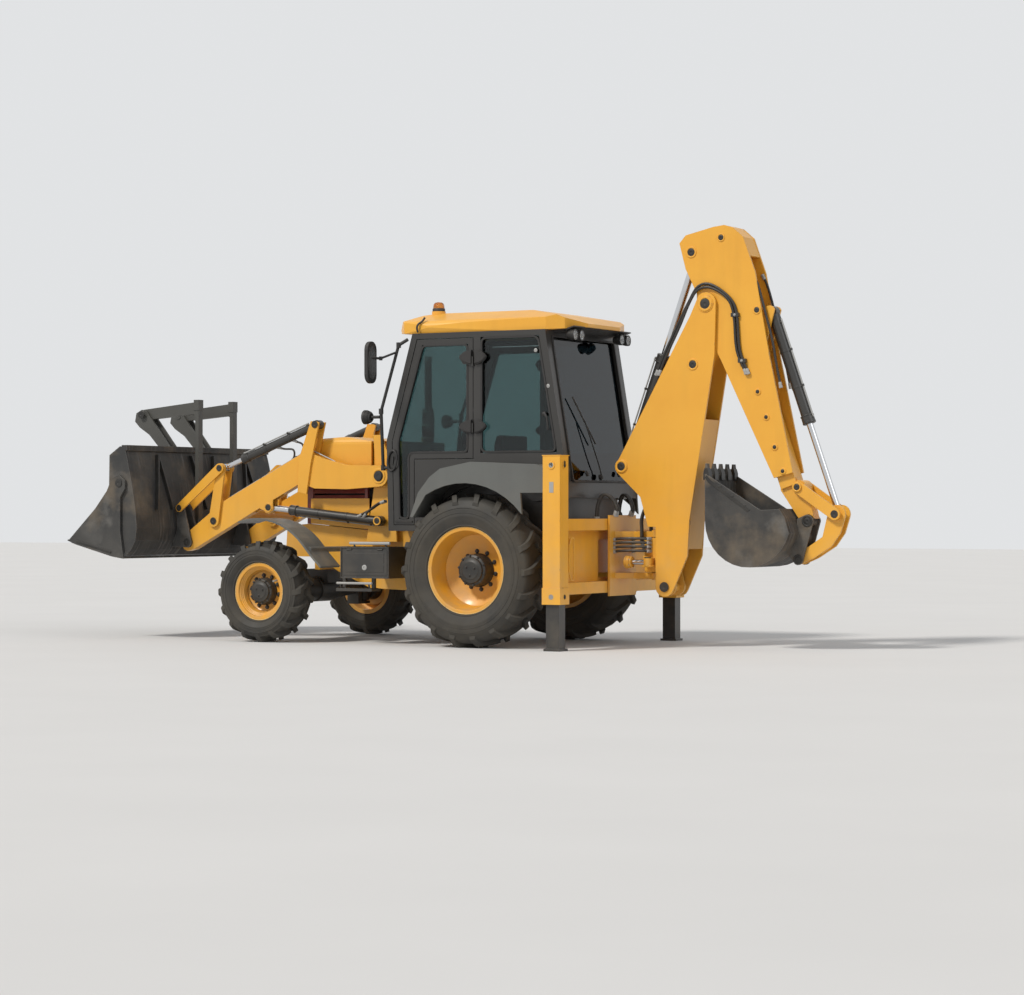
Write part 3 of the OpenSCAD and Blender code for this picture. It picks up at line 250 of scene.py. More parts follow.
class Finish:
    """A node material on the Principled shader. Patterns use the place on the part, so they move with it."""

    def __init__(self, name, **sockets):
        self.mat = bpy.data.materials.new(name)
        self.mat.use_nodes = True
        self.tree = self.mat.node_tree
        self.shader = self.tree.nodes["Principled BSDF"]
        self.coords = self.tree.nodes.new("ShaderNodeTexCoord")
        self.place = self.coords.outputs["Object"]
        for key, value in sockets.items():
            self.set(key.replace("_", " "), value)

    def set(self, socket, value):
        target = self.shader.inputs[socket]
        if isinstance(value, bpy.types.NodeSocket):
            self.tree.links.new(value, target)
        else:
            target.default_value = (*value, 1) if isinstance(value, tuple) and len(value) == 3 else value

    def node(self, kind, inputs, out=0, **settings):
        made = having(self.tree.nodes.new("ShaderNode" + kind), **settings)
        for key, value in inputs.items():
            if isinstance(value, bpy.types.NodeSocket):
                self.tree.links.new(value, made.inputs[key])
            else:
                made.inputs[key].default_value = value
        return made.outputs[out]

    def noise(self, scale, detail=4, stretch=None, roughness=0.55):
        place = self.place
        if stretch:
            place = self.node("Mapping", {"Vector": place, "Scale": stretch})
        return self.node("TexNoise", {"Vector": place, "Scale": scale, "Detail": detail, "Roughness": roughness})

    def span(self, value, low, high, out_low=0.0, out_high=1.0):
        """Maps low to out_low and high to out_high, and holds beyond."""
        return self.node("MapRange", {"Value": value, "From Min": low, "From Max": high,
                                      "To Min": out_low, "To Max": out_high})

    def math(self, operation, a, b):
        return self.node("Math", {0: a, 1: b}, operation=operation)

    def times(self, a, b):
        return self.math("MULTIPLY", a, b)

    def mix(self, share, a, b):
        """Colour a, or b where share is 1."""
        colours = {key: (*value, 1) if isinstance(value, tuple) else value for key, value in ((6, a), (7, b))}
        return self.node("Mix", {0: share, **colours}, out=2, data_type="RGBA")

    def upward(self):
        """How much the surface faces up, from -1 to 1."""
        return self.node("SeparateXYZ", {"Vector": self.coords.outputs["Normal"]}, out=2)

    def height(self):
        return self.node("SeparateXYZ", {"Vector": self.place}, out=2)

    def edges(self, radius):
        """1 on the part's outer edges within about that radius in metres, else 0."""
        soft = self.node("Bevel", {"Radius": radius}, samples=4)
        plain = self.node("NewGeometry", {}, out=1)
        same = self.node("VectorMath", {0: soft, 1: plain}, out=1, operation="DOT_PRODUCT")
        return self.span(same, 0.995, 0.9)

    def skin(self, colour, roughness):
        self.set("Base Color", colour)
        self.set("Roughness", roughness)

    def relief(self, height, strength=0.3, distance=0.002, rounded=0.0):
        """Bump from a height, on edges that are rounded by that many metres."""
        inputs = {"Height": height, "Strength": strength, "Distance": distance}
        if rounded:
            inputs["Normal"] = self.node("Bevel", {"Radius": rounded}, samples=4)
        self.set("Normal", self.node("Bump", inputs))

    def dusty(self, colour, dust=(0.36, 0.29, 0.2), least=0.04, most=0.5, low=0.2, high=1.5):
        """Dust that thickens towards the ground and on what faces up, in soft patches."""
        near_ground = self.span(self.height(), low, high, 1, 0)
        patches = self.span(self.noise(5, 6), 0.38, 0.72)
        faces_up = self.span(self.upward(), 0.1, 1)
        amount = self.times(self.math("ADD", near_ground, self.times(faces_up, 0.5)), patches)
        share = self.span(amount, 0, 1.2, least, most)
        return self.mix(share, colour, dust), share


def painted(name, colour, dark, worn=(0.12, 0.1, 0.085), rough=0.34, dust_most=0.45, wear=1.0):
    """Machine paint: slightly uneven, dusty low down, chipped along its edges, with faint orange peel."""
    f = Finish(name, Coat_Weight=0.25, Coat_Roughness=0.18, IOR=1.5)
    uneven = f.mix(f.span(f.noise(2.2, 5), 0.35, 0.7), colour, dark)
    streaks = f.span(f.noise(6, 5, stretch=(1.0, 1.0, 0.12)), 0.5, 0.75, 0, 0.16)
    streaked = f.mix(streaks, uneven, tuple(c * 0.55 for c in colour))
    dusted, share = f.dusty(streaked, most=dust_most)
    chips = f.times(f.edges(0.006), f.span(f.noise(26, 6), 0.56, 0.66, 0, wear))
    dull = f.math("ADD", share, f.times(f.noise(38, 3), 0.25))
    f.skin(f.mix(chips, dusted, worn), f.span(dull, 0.05, 0.9, rough, 0.8))
    f.relief(f.noise(160, 2), 0.08, 0.0006, rounded=0.004)
    return f.mat


yellow = painted("yellow_paint", (0.84, 0.415, 0.032), (0.8, 0.375, 0.025))
rim_yellow = painted("rim_yellow", (0.8, 0.375, 0.025), (0.74, 0.33, 0.02), dust_most=0.55)
# Painted highlight: a paler yellow for the rims' rolled outer lip
painted_highlight_lip = painted("rim_lip_painted_highlight", (0.85, 0.6, 0.22), (0.8, 0.5, 0.15))
black = painted("black_paint", (0.014, 0.015, 0.016), (0.02, 0.021, 0.022), worn=(0.1, 0.1, 0.1), rough=0.3,
                dust_most=0.2)
maroon = painted("maroon_paint", (0.21, 0.03, 0.026), (0.16, 0.022, 0.02), rough=0.4)
grey = painted("grey_moulding", (0.1, 0.108, 0.104), (0.085, 0.09, 0.088), worn=(0.2, 0.2, 0.2), rough=0.5,
               dust_most=0.5, wear=0.5)
dark_steel = painted("dark_steel", (0.05, 0.052, 0.048), (0.035, 0.036, 0.034), worn=(0.14, 0.12, 0.1),
                     rough=0.55, dust_most=0.5)


def cast_iron():
    """Black castings under the machine: oily, dusty, with a grainy skin."""
    f = Finish("cast_iron", IOR=1.5)
    base = f.mix(f.span(f.noise(9, 6), 0.35, 0.7), (0.012, 0.012, 0.012), (0.03, 0.029, 0.026))
    dusted, share = f.dusty(base, dust=(0.2, 0.165, 0.12), least=0.03, most=0.34, low=0.1, high=1.2)
    f.skin(dusted, f.span(share, 0, 0.6, 0.42, 0.85))
    f.relief(f.noise(220, 4), 0.35, 0.0015, rounded=0.004)
    return f.mat


def worn_steel():
    """Digging steel: old black paint, brown earth, and scoured streaks of bare metal."""
    f = Finish("worn_steel", IOR=1.6)
    paint = f.mix(f.span(f.noise(4, 7), 0.35, 0.68), (0.018, 0.018, 0.018), (0.05, 0.047, 0.042))
    earth = f.mix(f.span(f.noise(2.6, 8), 0.5, 0.72, 0, 0.75), paint, (0.17, 0.13, 0.085))
    scour = f.span(f.noise(14, 6, stretch=(0.25, 3.0, 0.25)), 0.52, 0.7, 0, 0.7)
    scour = f.times(scour, f.span(f.noise(1.7, 3), 0.42, 0.62))
    bare = f.math("MAXIMUM", scour, f.times(f.edges(0.008), 0.6))
    f.set("Base Color", f.mix(bare, earth, (0.2, 0.19, 0.175)))
    f.set("Metallic", f.times(bare, 0.8))
    f.set("Roughness", f.span(bare, 0, 1, 0.72, 0.38))
    f.relief(f.math("ADD", f.noise(60, 6), f.times(f.noise(7, 3), 1.5)), 0.35, 0.003, rounded=0.003)
    return f.mat


def rubber():
    """Tyre rubber, dusty in its hollows and paler where it has been scuffed."""
    f = Finish("tyre_rubber", IOR=1.5)
    base = f.mix(f.span(f.noise(7, 6), 0.35, 0.7), (0.017, 0.017, 0.016), (0.036, 0.034, 0.03))
    dust = f.span(f.noise(3.2, 8), 0.36, 0.7, 0.08, 0.52)
    f.skin(f.mix(dust, base, (0.115, 0.1, 0.077)), f.span(dust, 0, 0.5, 0.6, 0.95))
    f.relief(f.math("ADD", f.noise(120, 5), f.times(f.noise(22, 4), 1.2)), 0.35, 0.002)
    return f.mat


GLASS_TINT = (0.2, 0.3, 0.3)


def glazing(name, rear=None):
    """Tinted cab glass with a little dust on it. Where rear is given, the pane across the back takes that dark
    colour as painted shade.
    """
    f = Finish(name, IOR=1.45, Transmission_Weight=1.0)
    colour = f.mix(f.span(f.noise(3, 5), 0.4, 0.75, 0, 0.3), GLASS_TINT, tuple(c * 0.8 for c in GLASS_TINT))
    # Painted shade: panes facing along X at the back of the cab are darkened to the rear colour
    if rear:
        along = f.node("SeparateXYZ", {"Vector": f.place})
        faces = f.node("SeparateXYZ", {"Vector": f.coords.outputs["Normal"]})
        crosswise = f.math("GREATER_THAN", f.math("ABSOLUTE", faces, 0.0), 0.6)
        back = f.times(crosswise, f.math("LESS_THAN", along, -1.0))
        colour = f.mix(back, colour, rear)
    f.skin(colour, f.span(f.noise(9, 6), 0.4, 0.8, 0.02, 0.07))
    return f.mat


def chrome():
    """Ram rods: bright, with faint marks along the stroke."""
    f = Finish("chrome", Metallic=1.0)
    f.skin(f.mix(f.noise(20, 3), (0.6, 0.61, 0.63), (0.7, 0.7, 0.7)),
           f.span(f.noise(60, 3, stretch=(1, 1, 0.1)), 0.3, 0.8, 0.1, 0.24))
    return f.mat


def hose_rubber():
    """Dull black hose cover, a little dusty."""
    f = Finish("hose_rubber", IOR=1.5)
    f.skin(f.dusty((0.012, 0.012, 0.013), most=0.35, high=2.5)[0],
           f.span(f.noise(50, 4), 0.3, 0.7, 0.42, 0.62))
    f.relief(f.noise(300, 2), 0.3, 0.001)
    return f.mat


def plastic(name, colour, rough=0.5):
    """A moulded or plated skin with a fine grain."""
    f = Finish(name, IOR=1.46)
    f.skin(f.dusty(colour, least=0.02, most=0.25)[0],
           f.span(f.noise(30, 3), 0.3, 0.7, rough, rough + 0.15))
    f.relief(f.noise(500, 2), 0.2, 0.0006, rounded=0.002)
    return f.mat


def woven():
    """Seat cloth: a fine two-way weave over a dark ground."""
    f = Finish("seat_cloth", Sheen_Weight=0.3, Roughness=0.9)
    waves = [f.node("TexWave", {"Vector": f.place, "Scale": 150, "Distortion": 0.4}, out=1,
                    bands_direction=way) for way in "YZ"]
    weave = f.times(waves[0], waves[1])
    f.set("Base Color", f.mix(weave, (0.02, 0.02, 0.022), (0.07, 0.07, 0.075)))
    f.relief(weave, 0.5, 0.0012)
    return f.mat


def lens(name, colour):
    """A moulded lamp lens with fine ribs."""
    f = Finish(name, IOR=1.49, Transmission_Weight=0.75)
    ribs = f.node("TexWave", {"Vector": f.place, "Scale": 45, "Distortion": 0.0}, out=1, bands_direction="Y")
    f.skin(f.mix(ribs, colour, tuple(c * 0.8 for c in colour)), f.span(ribs, 0, 1, 0.12, 0.22))
    f.relief(ribs, 0.6, 0.003)
    return f.mat


iron = cast_iron()
digging = worn_steel()
tread = rubber()
door_tint = glazing("door_glass")
# The rear colour is painted shade on the back pane, not a tint of the glass
cab_tint_and_painted_shade = glazing("cab_glass", rear=(0.014, 0.021, 0.027))
bright = chrome()
hosing = hose_rubber()
moulded = plastic("black_plastic", (0.02, 0.02, 0.021))
bare_steel = plastic("zinc_steel", (0.36, 0.36, 0.35), 0.3)
cloth = woven()
clear = lens("lamp_lens", (0.8, 0.82, 0.82))
amber = lens("amber_lens", (0.85, 0.3, 0.02))

BY_SLOT = {"yellow_paint": yellow, "black_paint": black, "bucket_black": digging, "axle_black": iron,
           "grey_moulding": grey, "maroon_paint": maroon, "tyre": tread, "glass": door_tint, "chrome": bright,
           "seat_fabric": cloth, "black_plastic": moulded, "lamp": clear}

# Parts that differ from their slot
BY_NODE = {"side_boxes": black, "cab_glass": cab_tint_and_painted_shade, "forks": dark_steel, "fork_links": dark_steel}

# Each part gets its finish, and smooth shading on its round faces
for node, obj in frame["nodes"].items():
    mesh = obj.data
    for i, old in enumerate(mesh.materials):
        mesh.materials[i] = BY_NODE.get(node) or BY_SLOT.get(old.name.split(".")[0], yellow)
    mesh.polygons.foreach_set("use_smooth", [True] * len(mesh.polygons))
    having(obj.modifiers.new("sharp edges", "EDGE_SPLIT"), split_angle=radians(28))


# Wheels

LUG_H = 32
WHEEL_STEPS = 96


def tyre_profile(r, w, rim_r):
    """Half of a tyre's section from the bead to the crown, as (radius, distance from the middle plane)."""
    h = r - rim_r
    bead = w / 2 - 55
    carcass = r - LUG_H
    return [(rim_r - 20, bead - 2), (rim_r - 2, bead + 2), (rim_r + 4, bead + 20), (rim_r + 10, bead + 27),
              (rim_r + 18, bead + 24), (rim_r + h * 0.2, w / 2 - 14), (rim_r + h * 0.3, w / 2 - 6),
              (rim_r + h * 0.33, w / 2 - 3), (rim_r + h * 0.36, w / 2 - 5), (rim_r + h * 0.5, w / 2 - 3),
              (rim_r + h * 0.62, w / 2 - 7), (rim_r + h * 0.64, w / 2 - 12), (rim_r + h * 0.75, w / 2 - 20),
              (carcass - 26, w / 2 - 34), (carcass - 10, w / 2 - 62), (carcass - 2, w / 2 - 110), (carcass, 0)]


def lug(form, centre, r, w, turn, side):
    """One tread lug, from just past the middle out to the shoulder and down the side wall."""
    rows = 9
    verts = []
    for i in range(rows):
        t = i / (rows - 1)
        y = side * (-10 + t * (w / 2 + 2))
        swing = 0.4 * w * (t - 0.22 * t * t) / r
        drop = 60 * max(0.0, (t - 0.72) / 0.28) ** 1.6
        top = r - 9 * t * t - drop
        foot = r - LUG_H - 14 - 55 * max(0.0, (t - 0.6) / 0.4) ** 1.5
        half_top = (21 + 5 * t) / r
        half_foot = (31 + 7 * t) / r
        y_top = min(abs(y), w / 2 - 4) * (1 if y >= 0 else -1)
        for radius, half, yy in ((foot, half_foot, y_top * 0.985), (top, half_top, y_top)):
            for way in (-1, 1):
                a = turn + swing + way * half
                verts.append((centre[0] + radius * cos(a), centre[1] + yy, centre[2] + radius * sin(a)))
    faces = [(0, 1, 3, 2), (4 * rows - 4, 4 * rows - 2, 4 * rows - 1, 4 * rows - 3)]
    for i in range(rows - 1):
        a, b = 4 * i, 4 * i + 4
        faces += [(a, a + 2, b + 2, b), (a + 2, a + 3, b + 3, b + 2), (a + 3, a + 1, b + 1, b + 3),
                  (a + 1, a, b, b + 1)]
    form.add(verts, faces)


def tyre(name, body, node, centre, r, w, rim_r, lugs):
    """A tyre with its lugs in two staggered rows and two moulded rings on each side wall."""
    form = Form()
    half = tyre_profile(r, w, rim_r)
    form.turned(half + [(a, -b) for a, b in reversed(half[:-1])], centre, Y_AXIS, WHEEL_STEPS, ends="ring")
    for side in (-1, 1):
        for turn in turns(lugs, 0.5 if side > 0 else 0):
            lug(form, centre, r, w, turn, side)
    for ring in (0.42, 0.56):
        a = rim_r + (r - rim_r) * ring
        for out in (-1, 1):
            form.turned([(a - 5, out * (w / 2 - 12)), (a - 3, out * (w / 2 - 1)), (a + 3, out * (w / 2 - 1)),
                         (a + 5, out * (w / 2 - 12))], centre, Y_AXIS, WHEEL_STEPS, ends="ring")
    form.piece(name, body, "tyre", [tread], bevel=5, sharp=40, stands_for=[node])


# Axle, radius, width, rim radius, lugs, hub radius, then disc, hub's outer and inner end from the middle
WHEELS = (("rear", 665, 430, 376, 18, 150, -70, 95, -168), ("front", 455, 310, 258, 16, 128, 0, 110, -93))


def rim(name, body, node, centre, out, rim_r, w, hub_r, disc, hub_end, hub_in):
    """Rolled rim with stepped barrel, dished disc, planetary hub with its studs, and the valve."""
    form = Form()
    bead = w / 2 - 55
    b = rim_r - 24
    depth = bead - 68 - disc
    slope = hub_r + (b - hub_r) * 0.45
    steps = []
    for i in range(3):
        y = bead - 8 - depth * (i + 0.4) / 3
        steps += [(b - 13 - 9 * i, y + depth * 0.1), (b - 22 - 9 * i, y - depth * 0.02)]
    shell = [(rim_r, bead), (rim_r, bead + 10), (rim_r - 5, bead + 11), (b - 8, bead + 6), (b - 13, bead - 8)]
    shell += steps + [(b - 44, disc + 52), (slope, disc + 14), (hub_r + 30, disc + 4), (hub_r - 8, disc + 4),
                      (hub_r - 8, disc - 14), (slope, disc - 4), (b - 54, disc + 34), (b - 14, disc + 20),
                      (b - 14, -bead - 11), (rim_r, -bead - 11), (rim_r, -bead), (b, -bead), (b, bead)]
    form.turned([(r, out * y) for r, y in shell], centre, Y_AXIS, 72, ends="ring")
    # The outer lip takes the paler yellow as a painted highlight
    edge = [(rim_r - 6, bead + 9), (rim_r + 0.5, bead + 9), (rim_r + 0.5, bead + 12), (rim_r - 5, bead + 12.5)]
    form.turned([(r, out * y) for r, y in edge], centre, Y_AXIS, 72, paint=1, ends="ring")
    hub = [(0, hub_in), (hub_r - 20, hub_in), (hub_r - 4, disc - 30), (hub_r - 4, disc + 22),
           (hub_r - 8, disc + 26), (hub_r - 12, disc + 40), (hub_r - 12, hub_end - 46),
           (hub_r - 18, hub_end - 34), (hub_r * 0.76, hub_end - 26), (hub_r * 0.72, hub_end - 10),
           (hub_r * 0.55, hub_end - 6), (hub_r * 0.5, hub_end), (0, hub_end)]
    form.turned([(r, out * y) for r, y in hub], centre, Y_AXIS, 48, paint=2)
    centre = Vector(centre)
    for count, radius, y, size in ((10, hub_r + 16, disc + 4, 15), (10, hub_r * 0.86, hub_end - 30, 9),
                                   (3, hub_r * 0.3, hub_end, 8)):
        for a in turns(count, 0.3):
            place = centre + Vector((radius * cos(a), out * y, radius * sin(a)))
            form.bolt(place, (0, out, 0), size, size * 1.3, paint=2)
    foot = centre + Vector(((b - 34) * cos(2.6), out * (disc + 60), (b - 34) * sin(2.6)))
    form.rod(foot, foot + Vector((20, out * 50, -10)), 9, 10, paint=3)
    form.piece(name, body, "yellow_paint", [rim_yellow, painted_highlight_lip, iron, bare_steel], bevel=2.5,
               stands_for=[node])


for axle, r, w, rim_r, lugs, *hub in WHEELS:
    for side, out in SIDES:
        low, high = corners(f"{axle}_tyre_{side}")
        middle = (low + high) / 2
        body = f"wheel_{axle}_{side}"
        tyre(f"{axle}_tyre_dressed_{side}", body, f"{axle}_tyre_{side}", middle, r, w, rim_r, lugs)
        rim(f"{axle}_rim_dressed_{side}", body, f"{axle}_rim_{side}", middle, out, rim_r, w, *hub)


# Fittings: what the plain parts carry, gathered in one piece for each body

YELLOW, DARK, STEEL, BLACK, CHROME, HOSE, PLASTIC = range(7)
FITTING_FINISHES = [yellow, iron, bare_steel, black, bright, hosing, moulded]
fittings = {}


def on(body):
    """The form that gathers the fittings of a body."""
    return fittings.setdefault(body, Form())


def pin_end(body, at, y, r, paint=YELLOW):
    """Both ends of a pin across the machine: a collar and the dark pin in it."""
    collar = [(r * 0.68, -3), (r, -3), (r, 4), (r * 0.94, 7), (r * 0.74, 7), (r * 0.68, 4)]
    core = [(r * 0.69, -3), (r * 0.69, 2), (r * 0.6, 4), (r * 0.2, 4), (r * 0.17, 1)]
    for out in (1, -1):
        axis, centre = (0, out, 0), (at[0], out * y, at[1])
        on(body).turned(collar, centre, axis, 32, paint, ends="ring")
        on(body).turned(core, centre, axis, 32, DARK)


def pin_face(body, at, y, r):
    """Both flat ends of a pin that stands proud of its boss."""
    for out in (1, -1):
        on(body).turned([(r * 0.9, -1), (r, 0.5), (r * 0.96, 3), (r * 0.3, 3), (r * 0.24, 1)],
                        (at[0], out * y, at[1]), (0, out, 0), 28, DARK)


# Open eyes of the linkages as (x, z), where no joint stands
LIFT_EYE, BOOM_EYE, DIPPER_EYE = (2405, 1208), (-1723, 2424), (-1693, 3393)
SHOVEL_LINK_EYE, BUCKET_LINK_EYE = (3375, 1204), (-2666, 769)

# Body, place of the pin (x, z), face, radius of the collar
for row in (("boom", pin("dipper"), 161, 66), ("boom", pin("dipper_barrel"), 161, 55),
            ("boom", (-1723, 2430), 155, 50), ("dipper", DIPPER_EYE, 122, 50), ("dipper", (-1974, 3506), 122, 36),
            ("dipper", (-2308, 2877), 122, 36), ("dipper_slide", pin("bucket_lever"), 122, 40),
            ("bucket", pin("bucket"), 84, 48), ("bucket", BUCKET_LINK_EYE, 84, 42),
            ("loader_arms", LIFT_EYE, 520, 44), ("loader_arms", pin("loader_lift"), 520, 70),
            ("root", pin("lift_barrel"), 524, 40)):
    pin_end(*row, paint=DARK if row[0] == "bucket" else YELLOW)
for row in (("kingpost", pin("boom"), 163, 44), ("root", pin("loader_lift"), 534, 42),
            ("loader_arms", pin("tilt_lever"), 550, 34), ("loader_arms", pin("tilt_barrel"), 544, 34),
            ("shovel", pin("shovel_tilt"), 546, 38), ("tilt_levers", pin("tilt_link"), 573, 30),
            ("tilt_links", SHOVEL_LINK_EYE, 570, 30), ("shovel", pin("clam"), 1179, 38),
            ("bucket_levers", pin("bucket_link"), 112, 34), ("fork_links", pin("fork_fold"), 370, 36)):
    pin_face(*row)


def ram(barrel, eye, sides, low, gland, r, rod_r, turn):
    """Gland, pipe and clamps of the rams that turn at the joint barrel and reach to an eye at (x, z).

    sides are their places across. From the base, the pipe starts at low and the gland ends at gland. The pipe lies
    at turn degrees from the left of the ram towards +Y.
    """
    form = on(JOINTS[barrel]["child"])
    base, eye = (Vector((x, 0, z)) for x, z in (pin(barrel), eye))
    way = (eye - base).normalized()
    left = Vector((-way.z, 0, way.x))
    high = gland - 44
    for y in sides:
        start = base + Y_AXIS * y
        out = left * cos(radians(turn)) + Y_AXIS * sin(radians(turn)) * (1 if y >= 0 else -1)
        form.turned([(rod_r + 2.5, -8), (rod_r + 2.5, 3), (rod_r + 7, 5), (r + 1, 3), (r + 8, -3), (r + 8, -16),
                     (r + 3, -20)], start + way * gland, way, 36, BLACK, ends="ring")
        form.turned([(r - 4, -6), (r + 3, -2), (r + 9, 3), (r + 9, 12), (r + 2, 16)], start + way * (gland - 74),
                    way, 36, BLACK, ends="ring")
        form.hose([start + way * a + out * o for a, o in
                   ((low, r - 2), (low + 4, r + 12), (low + 34, r + 15), (high - 60, r + 15), (high - 22, r + 17),
                    (high - 8, r + 18), (high, r + 4))], 7, 10, 4, STEEL)
        for a in (low, high):
            form.turned([(15, -4), (15, 6), (11, 9), (11, 15)], start + way * a + out * r, out, 6, BLACK)
        for share in (0.36, 0.68):
            at = start + way * gland * share
            form.turned([(r - 2, -9), (r + 2.5, -9), (r + 2.5, 9), (r - 2, 9)], at, way, 36, BLACK, ends="ring")
            form.rod(at + out * (r - 1) - way * 9, at + out * (r - 1) + way * 9, 14, 8, BLACK)
            form.turned([(11, -9), (11, 9)], at + out * (r + 15), way, 10, BLACK)


ram("lift_barrel", LIFT_EYE, (480, -480), 100, 960, 40, 27, -150)
ram("tilt_barrel", pin("tilt_link"), (480, -480), 97, 880, 38, 24, 40)
ram("boom_barrel", BOOM_EYE, (0,), 300, 1340, 60, 37, 90)
ram("dipper_barrel", DIPPER_EYE, (0,), 127, 1020, 58, 33, 160)
ram("bucket_barrel", pin("bucket_link"), (0,), 115, 1010, 50, 29, 160)


def hose_line(form, points, r):
    """A hose with a crimped sleeve and a hexagon nut at each end."""
    form.hose(points, r, paint=HOSE)
    for a, b in ((points[0], points[1]), (points[-1], points[-2])):
        a, way = Vector(a), (Vector(b) - Vector(a)).normalized()
        form.turned([(r * 1.2, 8), (r * 1.35, 12), (r * 1.35, 40), (r * 1.15, 44)], a, way, 14, STEEL)
        form.turned([(r * 1.55, -6), (r * 1.55, 12)], a, way, 6, STEEL)


def both(points):
    """The points, and the same on the right side."""
    return points, [(x, -y, z) for x, y, z in points]


def across_joint(name, a, b, start, end, r, lines):
    """Hoses on both sides from body a to body b, in one piece that rides on no body; a, b, start and end are not
    used.
    """
    form = Form()
    for line in lines:
        for points in both(line):
            hose_line(form, points, r)
    form.piece(name, a, "black_plastic", FITTING_FINISHES, bends=(b, *((x, 0, z) for x, z in (start, end))))


# Hoses at the swing of the backhoe, over the dipper's pin, and to the rams
across_joint("shift_hoses", "root", "carriage", (-850, 1300), (-950, 1280), 12, [
    [(-822, y + 60, 1084), (-838, y + 56, 1230), (-880, y + 40, 1316), (-950, y + 16, 1290), (-996, y, 1196),
     (-978, y, 1136)] for y in (130, 164)])
across_joint("swing_hoses", "carriage", "kingpost", (-1060, 880), (-1190, 880), 11,
             [[(-957, 172, z - 10), (-1040, 186, z), (-1150, 182, z + 4), (-1240, 160, z + 2), (-1285, 130, z),
               (-1292, 104, z)] for z in (830, 866, 902, 936)])
across_joint("boom_foot_hoses", "kingpost", "boom", (-1204, 990), (-1270, 1190), 11, [
    [(-1233, y, 850), (-1208, y, 900), (-1204, y, 1010), (-1204, y, 1110), (-1246, y, 1220), (-1310, y, 1340)]
    for y in (78, 104)])
across_joint("dipper_hoses", "boom", "dipper", (-1800, 3080), (-2040, 3000), 12,
             [[(-1395 + k, 141, 2350), (-1452 + k, 146, 2480), (-1590 + k, 146, 2750),
               (-1688 + k * 10 / 26, 146, 2960), (-1770, 146, 3068 + k), (-1893, 140, 3078 + k * 28 / 26),
               (-2040 - k, 138, 2985), (-2100 - k * 28 / 26, 137, 2841), (-2128 - k * 28 / 26, 137, 2543),
               (-2216 - k * 20 / 26, 137, 2340)] for k in (0, 26)])
across_joint("lift_hoses", "root", "lift_barrels", (1180, 1200), (1270, 1180), 10, [
    [(1112, 590 - 26 * k, 1262), (1180, 588 - 26 * k, 1240), (1268, 560 - 20 * k, 1196),
     (1330 + 34 * k, 532 - 10 * k, 1158), (1372 + 60 * k, 512, 1128)] for k in (0, 1)])
across_joint("tilt_hoses", "loader_arms", "tilt_barrels", (2250, 1660), (2250, 1780), 9, [
    [(x, 468, z), (x - 34, 464, z + 62), (x - 20, 464, z + 118), ((x + x1) / 2, 470, z1 - 14), (x1, 474, z1)]
    for x, z, x1, z1 in ((2090, 1668, 2160, 1822), (2190, 1618, 2330, 1758))])

# Hoses, clamps and wear-pad bolts of the dipper
dipper = on("dipper")
for line in both([(-2262, 100, 3190), (-2312, 102, 3080), (-2382, 102, 2840), (-2446, 102, 2600),
                  (-2478, 102, 2420), (-2520, 102, 2220)]):
    hose_line(dipper, line, 11)
for out in (1, -1):
    for x, z in ((-2114, 2841), (-2180, 2450)):
        dipper.box((x - 36, out * 121, z - 17), (x + 36, out * 153, z + 17), BLACK)
        dipper.bolt((x, out * 153, z), (0, out, 0), 9, 8, STEEL)
    for x, z in ((-2317, 2185), (-2395, 1969), (-2473, 1715), (-2547, 1512)):
        dipper.turned([(30, -1), (30, 5), (26, 8), (16, 8)], (x, out * 122, z), (0, out, 0), 24, YELLOW)
        dipper.bolt((x, out * 128, z), (0, out, 0), 13, 10, DARK)

# Kingpost and its swing rams
SLEW_RAM_Y, SLEW_RAM_Z = 192, 735
LEG_BACK_X, LEG_Y = -991, 1105
king, root = on("kingpost"), on("root")
for out in (1, -1):
    ram_y = out * SLEW_RAM_Y
    king.rod((-1292, ram_y, SLEW_RAM_Z), (-1166, ram_y, SLEW_RAM_Z), 21.5, 28, CHROME)
    for x, r in ((-1163, 50), (-1116, 56)):
        king.turned([(r - 8, -4), (r, -2), (r, 9), (r - 8, 11)], (x, ram_y, SLEW_RAM_Z), (1, 0, 0), 32, YELLOW,
                    ends="ring")
    for a in turns(6, 0.5):
        king.bolt((-1150, ram_y + out * 44 * cos(a), SLEW_RAM_Z + 44 * sin(a)), (-1, 0, 0), 7, 8, STEEL)
    king.turned([(24, 0), (30, 3), (30, 9), (20, 12)], (-1310, ram_y, 768), (0, 0, 1), 24, DARK)
    for z in (690, 745, 800, 855):
        king.turned([(9, -1), (9, 5), (5, 8)], (-1236, out * 60, z), (1, 0, 0), 12, STEEL)
    # Bolts and grease points of the leg tubes, the cap plates and the latch rack
    for z in (455, 1560):
        root.bolt((-904, out * 1185, z), (0, -out, 0), 17, 5, STEEL)
        root.bolt((LEG_BACK_X, out * LEG_Y, z), (-1, 0, 0), 16, 4, DARK)
    root.bolt((LEG_BACK_X, out * LEG_Y, 1581), (-1, 0, 0), 13, 4, DARK)
    root.box((-992, out * 1022, 1638), (-816, out * 1184, 1646), YELLOW)
    root.box((-925, out * 1179.5, 1330), (-885, out * 1182, 1420), STEEL)
    root.hose([(-982, out * 1000, 640), (-986, out * 984, 600), (-986, out * 960, 590), (-986, out * 936, 600),
               (-983, out * 930, 640), (-983, out * 930, 900), (-986, out * 936, 940), (-986, out * 960, 950),
               (-986, out * 984, 940), (-982, out * 1000, 900)], 6, paint=YELLOW)


# Steps, toolbox and the lower sides

